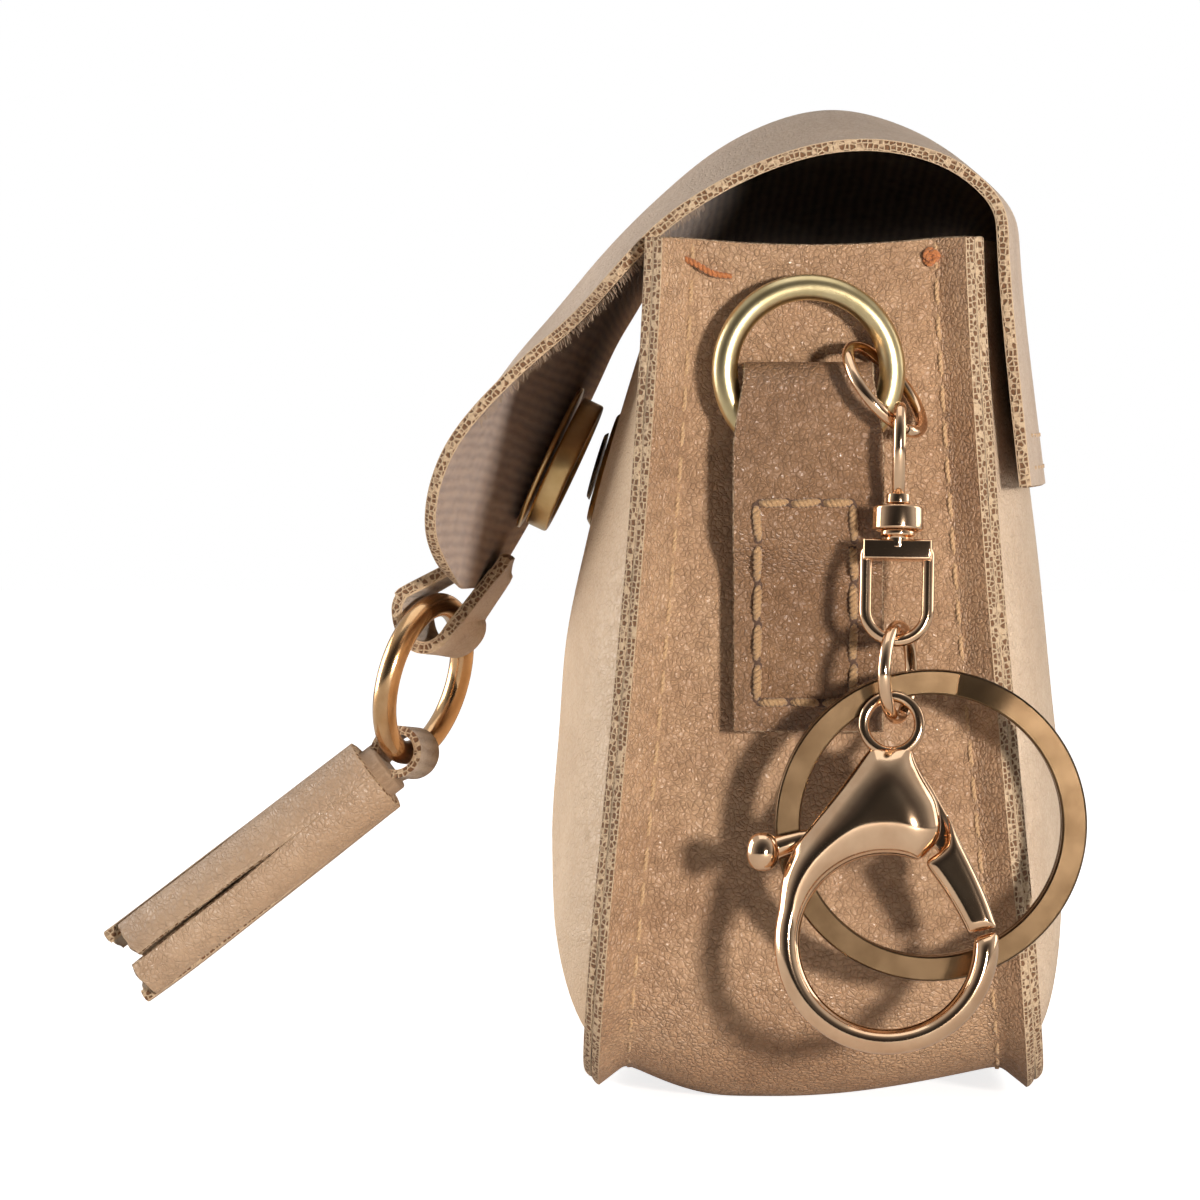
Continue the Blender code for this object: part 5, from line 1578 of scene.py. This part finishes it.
# two plies twisted together
def threadAlong(path, radius, twists, sides=8):
    bm = bmesh.new()
    count = len(path)
    for ply in (0, math.pi):
        twisted = []
        for i, here in enumerate(path):
            before, after = path[max(i - 1, 0)], path[min(i + 1, count - 1)]
            way = (after - before).normalized()
            one = way.orthogonal().normalized()
            two = way.cross(one)
            turn = ply + 2 * math.pi * twists * i / (count - 1)
            taper = math.sin(math.pi * min(1.0, 4 * min(i, count - 1 - i) / (count - 1)) / 2)
            aside = (one * math.cos(turn) + two * math.sin(turn)) * radius * 0.48
            twisted.append(here + aside * (0.4 + 0.6 * taper))
        loops = pipeInto(bm, tubeRings(twisted, radius * 0.62, sides))
        bm.faces.new(loops[0])
        bm.faces.new(loops[-1])
    bmesh.ops.recalc_face_normals(bm, faces=bm.faces[:])
    return bm


# one stitch: it leaves its hole, lies on the leather and goes down again
def stitchBetween(a, b, out, radius, sag=0.75, steps=24):
    path = []
    for i in range(steps + 1):
        f = i / steps
        rise = math.sin(math.pi * f)
        lift = rise ** 0.5 * radius * 1.15 - radius * sag * (1 - rise ** 0.3) * 2
        path.append(a.lerp(b, f) + out * lift)
    return path


def joinBm(target, other):
    mesh = bpy.data.meshes.new("joining")
    other.to_mesh(mesh)
    other.free()
    target.from_mesh(mesh)
    bpy.data.meshes.remove(mesh)


def tabFace(y, z):
    return Vector((outerLeafX(z) + tab["leaf"] / 2, y, z))


def sewnPiece(name, bm, material, body="pouch"):
    dressed(objectFrom(name, bm, [material], sharp=80), body)


def makeBoxStitch():
    bm = bmesh.new()
    holes = bmesh.new()
    corners = [(sewing["boxLeft"], sewing["boxTop"]), (sewing["boxRight"], sewing["boxTop"]),
               (sewing["boxRight"], sewing["boxBottom"]), (sewing["boxLeft"], sewing["boxBottom"])]
    random.seed(4)
    radius = sewing["thread"]
    for k in range(4):
        (ay, az), (by, bz) = corners[k], corners[(k + 1) % 4]
        count = sewing["boxStitches"][k % 2]
        for i in range(count):
            f0, f1 = (i + 0.08) / count, (i + 0.92) / count
            shift = random.uniform(-sewing["stray"], sewing["stray"])
            one = tabFace(mixed(ay, by, f0) + shift * (k % 2), mixed(az, bz, f0) + shift * (1 - k % 2))
            two = tabFace(mixed(ay, by, f1) - shift * (k % 2), mixed(az, bz, f1) - shift * (1 - k % 2))
            path = stitchBetween(one, two, Vector((1, 0, 0)), radius)
            joinBm(bm, threadAlong(path, radius, sewing["twists"]))
            for spot in (one, two):
                size = sewing["hole"]
                dish = lathe([(0, 0.06 * mm), (size * 0.8, 0.05 * mm), (size, 0), (0, 0)], 16)
                joinBm(holes, turned(dish, acrossClasp, spot))
    sewnPiece("tab_box_stitch", bm, thread)
    sewnPiece("tab_needle_holes", holes, holeShadow)


# bottom of the seam's valley, on the gusset side or outside on the panel, with the way out of it
def seamSpot(share, sign, outside):
    place, out = seamPath(share)
    half = halfDepth(place.z)
    if outside:
        place = place - out * panelInset + Vector((0, sign * (half + panelInset), 0))
        way = (Vector((0, sign, 0)) * 1.7 - out * 0.7).normalized()
    else:
        place = place + Vector((0, sign * half, 0))
        way = (out * 1.7 - Vector((0, sign, 0)) * 0.7).normalized()
    return place + way * (shell["leather"] / 2 + sewing["seamSunk"]), way


def makeSeams():
    bm = bmesh.new()
    side = shell["height"] - shell["seamFloor"] - shell["cornerRadius"]
    under = 2 * (shell["seamHalfWidth"] - shell["cornerRadius"])
    count = round((2 * side + math.pi * shell["cornerRadius"] + under) / sewing["seamPitch"])
    radius = sewing["seamThread"]
    for sign in (-1, 1):
        for outside in (False, True):
            for k in range(count):
                one, way = seamSpot((k + 0.08) / count, sign, outside)
                two, way = seamSpot((k + 0.92) / count, sign, outside)
                joinBm(bm, threadAlong(stitchBetween(one, two, way, radius, steps=10), radius, 2.5, sides=6))
    sewnPiece("seam_stitches", bm, seamThread)


# two rows of stitches that hold the tail of the flap on the back panel
def makeFlapRows():
    bm = bmesh.new()
    reach = flap["halfWidth"] - 3 * mm
    count = round(2 * reach / sewing["seamPitch"])
    radius = sewing["seamThread"]
    for rise in sewing["rowRises"]:
        z = flap["hinge"] - flap["tailLength"] + rise
        for k in range(count):
            ends = []
            for f in (0.1, 0.9):
                x = -reach + 2 * reach * (k + f) / count
                y = backY(x * flap["tailHug"], z) + flapSeat + flap["thickness"] / 2 - 1.5 * radius
                ends.append(Vector((x, y, z)))
            path = stitchBetween(*ends, Vector((0, 1, 0)), radius, steps=10)
            joinBm(bm, threadAlong(path, radius, 2.5, sides=6))
    sewnPiece("flap_tail_stitches", bm, seamThread)


# the cut end of the seam thread at one corner of the mouth and its knot at the other
def makeLooseEnds():
    face = shell["seamHalfWidth"] + shell["leather"] / 2
    knots = [Vector((face + lift, y, z)) for y, z, lift in sewing["looseEnd"]]
    path = [curveThrough(knots, i / 40) for i in range(41)]
    sewnPiece("loose_thread_end", threadAlong(path, sewing["thread"] * 0.8, 6), endThread)
    y, z = sewing["knot"]
    curl = []
    for i in range(61):
        t = 2 * math.pi * 2 * i / 60
        r = sewing["knotRadius"] * (1 + 0.35 * math.cos(1.5 * t))
        x = face + 0.5 * mm + 0.3 * mm * math.sin(1.5 * t)
        curl.append(Vector((x, y + r * math.cos(t), z + r * math.sin(t))))
    sewnPiece("seam_knot", threadAlong(curl, sewing["thread"] * 0.8, 8), endThread)


makeBoxStitch()
makeSeams()
makeFlapRows()
makeLooseEnds()
print("sewing done")


# Floor, light and camera

stageSet = {
    "floorTone": (246, 246, 246),
    "worldStrength": 0.035,
    "shineStrength": 0.5,
    "floorSize": 3.0,
    "floorGlow": (0.8, 1.0),
    # the tent is bright all round and dark where the camera stands
    "tent": ((0.0, (1.0, 0.985, 0.965)), (0.25, (1.0, 0.985, 0.965)), (0.52, (0.40, 0.39, 0.38)),
             (0.74, (0.14, 0.13, 0.13)), (0.93, (0.05, 0.05, 0.05))),
    "cameraPlace": (0.56526, -0.00014, 0.06895),
    "cameraAim": (0.046, -0.021, 0.0508),
    "lens": 158.34,
    # place, aim, size, power and tone of each lamp
    "lamps": {
        "key_beside_camera": ((0.58, 0.23, 0.09), (0.03, 0, 0.05), 0.05, 4.1, (1.0, 0.97, 0.93)),
        "soft_from_left": ((-0.14, -0.62, 0.20), (0, 0, 0.05), 0.4, 3.5, (1.0, 0.97, 0.93)),
        "soft_from_right": ((-0.15, 0.60, 0.24), (0, 0, 0.05), 0.4, 1.1, (1.0, 0.98, 0.95)),
        "top_soft": ((0.0, 0.0, 0.75), (0, 0, 0), 0.6, 0.9, (1.0, 0.99, 0.97)),
    },
}


def makeStage():
    bm = bmesh.new()
    half = stageSet["floorSize"] / 2
    corners = ((-half, -half), (half, -half), (half, half), (-half, half))
    bm.faces.new([bm.verts.new((x, y, 0)) for x, y in corners])
    material, tree, shader = newMaterial("floorPaper")
    fibres = noiseNode(tree, placesVector(tree), 0.4)
    tone = linear(*stageSet["floorTone"])
    paper = ramp(tree, fibres, ((0.0, tuple(v * 0.995 for v in tone[:3])), (1.0, tone)))
    seenByCamera = tree.nodes.new("ShaderNodeLightPath")
    place = tree.nodes.new("ShaderNodeTexCoord")
    away = nodeWith(tree, "ShaderNodeVectorMath", {0: place.outputs["Object"]}, operation="LENGTH")
    near, far = stageSet["floorGlow"]
    growing = ramp(tree, away.outputs["Value"], ((0.08, level(near)), (0.3, level(far))))
    glow = mathNode(tree, "MULTIPLY", seenByCamera.outputs["Is Camera Ray"], growing)
    feed(tree, shader, {"Base Color": paper, "Roughness": 0.9, "Emission Color": (1, 1, 1, 1),
                        "Emission Strength": glow})
    floor = objectFrom("paper_floor", bm, [material], smoothShade=False)
    world = bpy.data.worlds.new("softWorld")
    bpy.context.scene.world = world
    world.use_nodes = True
    tree = world.node_tree
    ray = tree.nodes.new("ShaderNodeLightPath").outputs
    direction = tree.nodes.new("ShaderNodeTexCoord")
    split = nodeWith(tree, "ShaderNodeSeparateXYZ", {0: direction.outputs["Generated"]})
    brightness = mathNode(tree, "MULTIPLY_ADD", ray["Is Glossy Ray"], stageSet["shineStrength"],
                          stageSet["worldStrength"])
    lit = feed(tree, tree.nodes["Background"], {
        "Color": ramp(tree, split.outputs["X"], stageSet["tent"]),
        "Strength": brightness,
    })
    seen = nodeWith(tree, "ShaderNodeBackground", {"Color": (1, 1, 1, 1), "Strength": 1.0})
    mixer = nodeWith(tree, "ShaderNodeMixShader", {0: ray["Is Camera Ray"], 1: lit.outputs[0],
                                                   2: seen.outputs[0]})
    feed(tree, tree.nodes["World Output"], {"Surface": mixer.outputs[0]})


def areaLight(name, place, aim, size, power, tone):
    data = bpy.data.lights.new(name, "AREA")
    data.shape = "RECTANGLE"
    data.size = data.size_y = size
    data.energy = power
    data.color = tone
    lamp = bpy.data.objects.new(name, data)
    lamp.location = place
    lamp.rotation_euler = (Vector(aim) - Vector(place)).to_track_quat("-Z", "Y").to_euler()
    bpy.context.collection.objects.link(lamp)


print("making the stage")
makeStage()
for name, lamp in stageSet["lamps"].items():
    areaLight(name, *lamp)

cameraData = bpy.data.cameras.new("portraitCamera")
cameraData.lens = stageSet["lens"]
camera = bpy.data.objects.new("portraitCamera", cameraData)
camera.location = stageSet["cameraPlace"]
camera.rotation_euler = (Vector(stageSet["cameraAim"]) - camera.location).to_track_quat("-Z", "Y").to_euler()
bpy.context.collection.objects.link(camera)
scene = bpy.context.scene
scene.camera = camera
scene.view_settings.view_transform = "Standard"
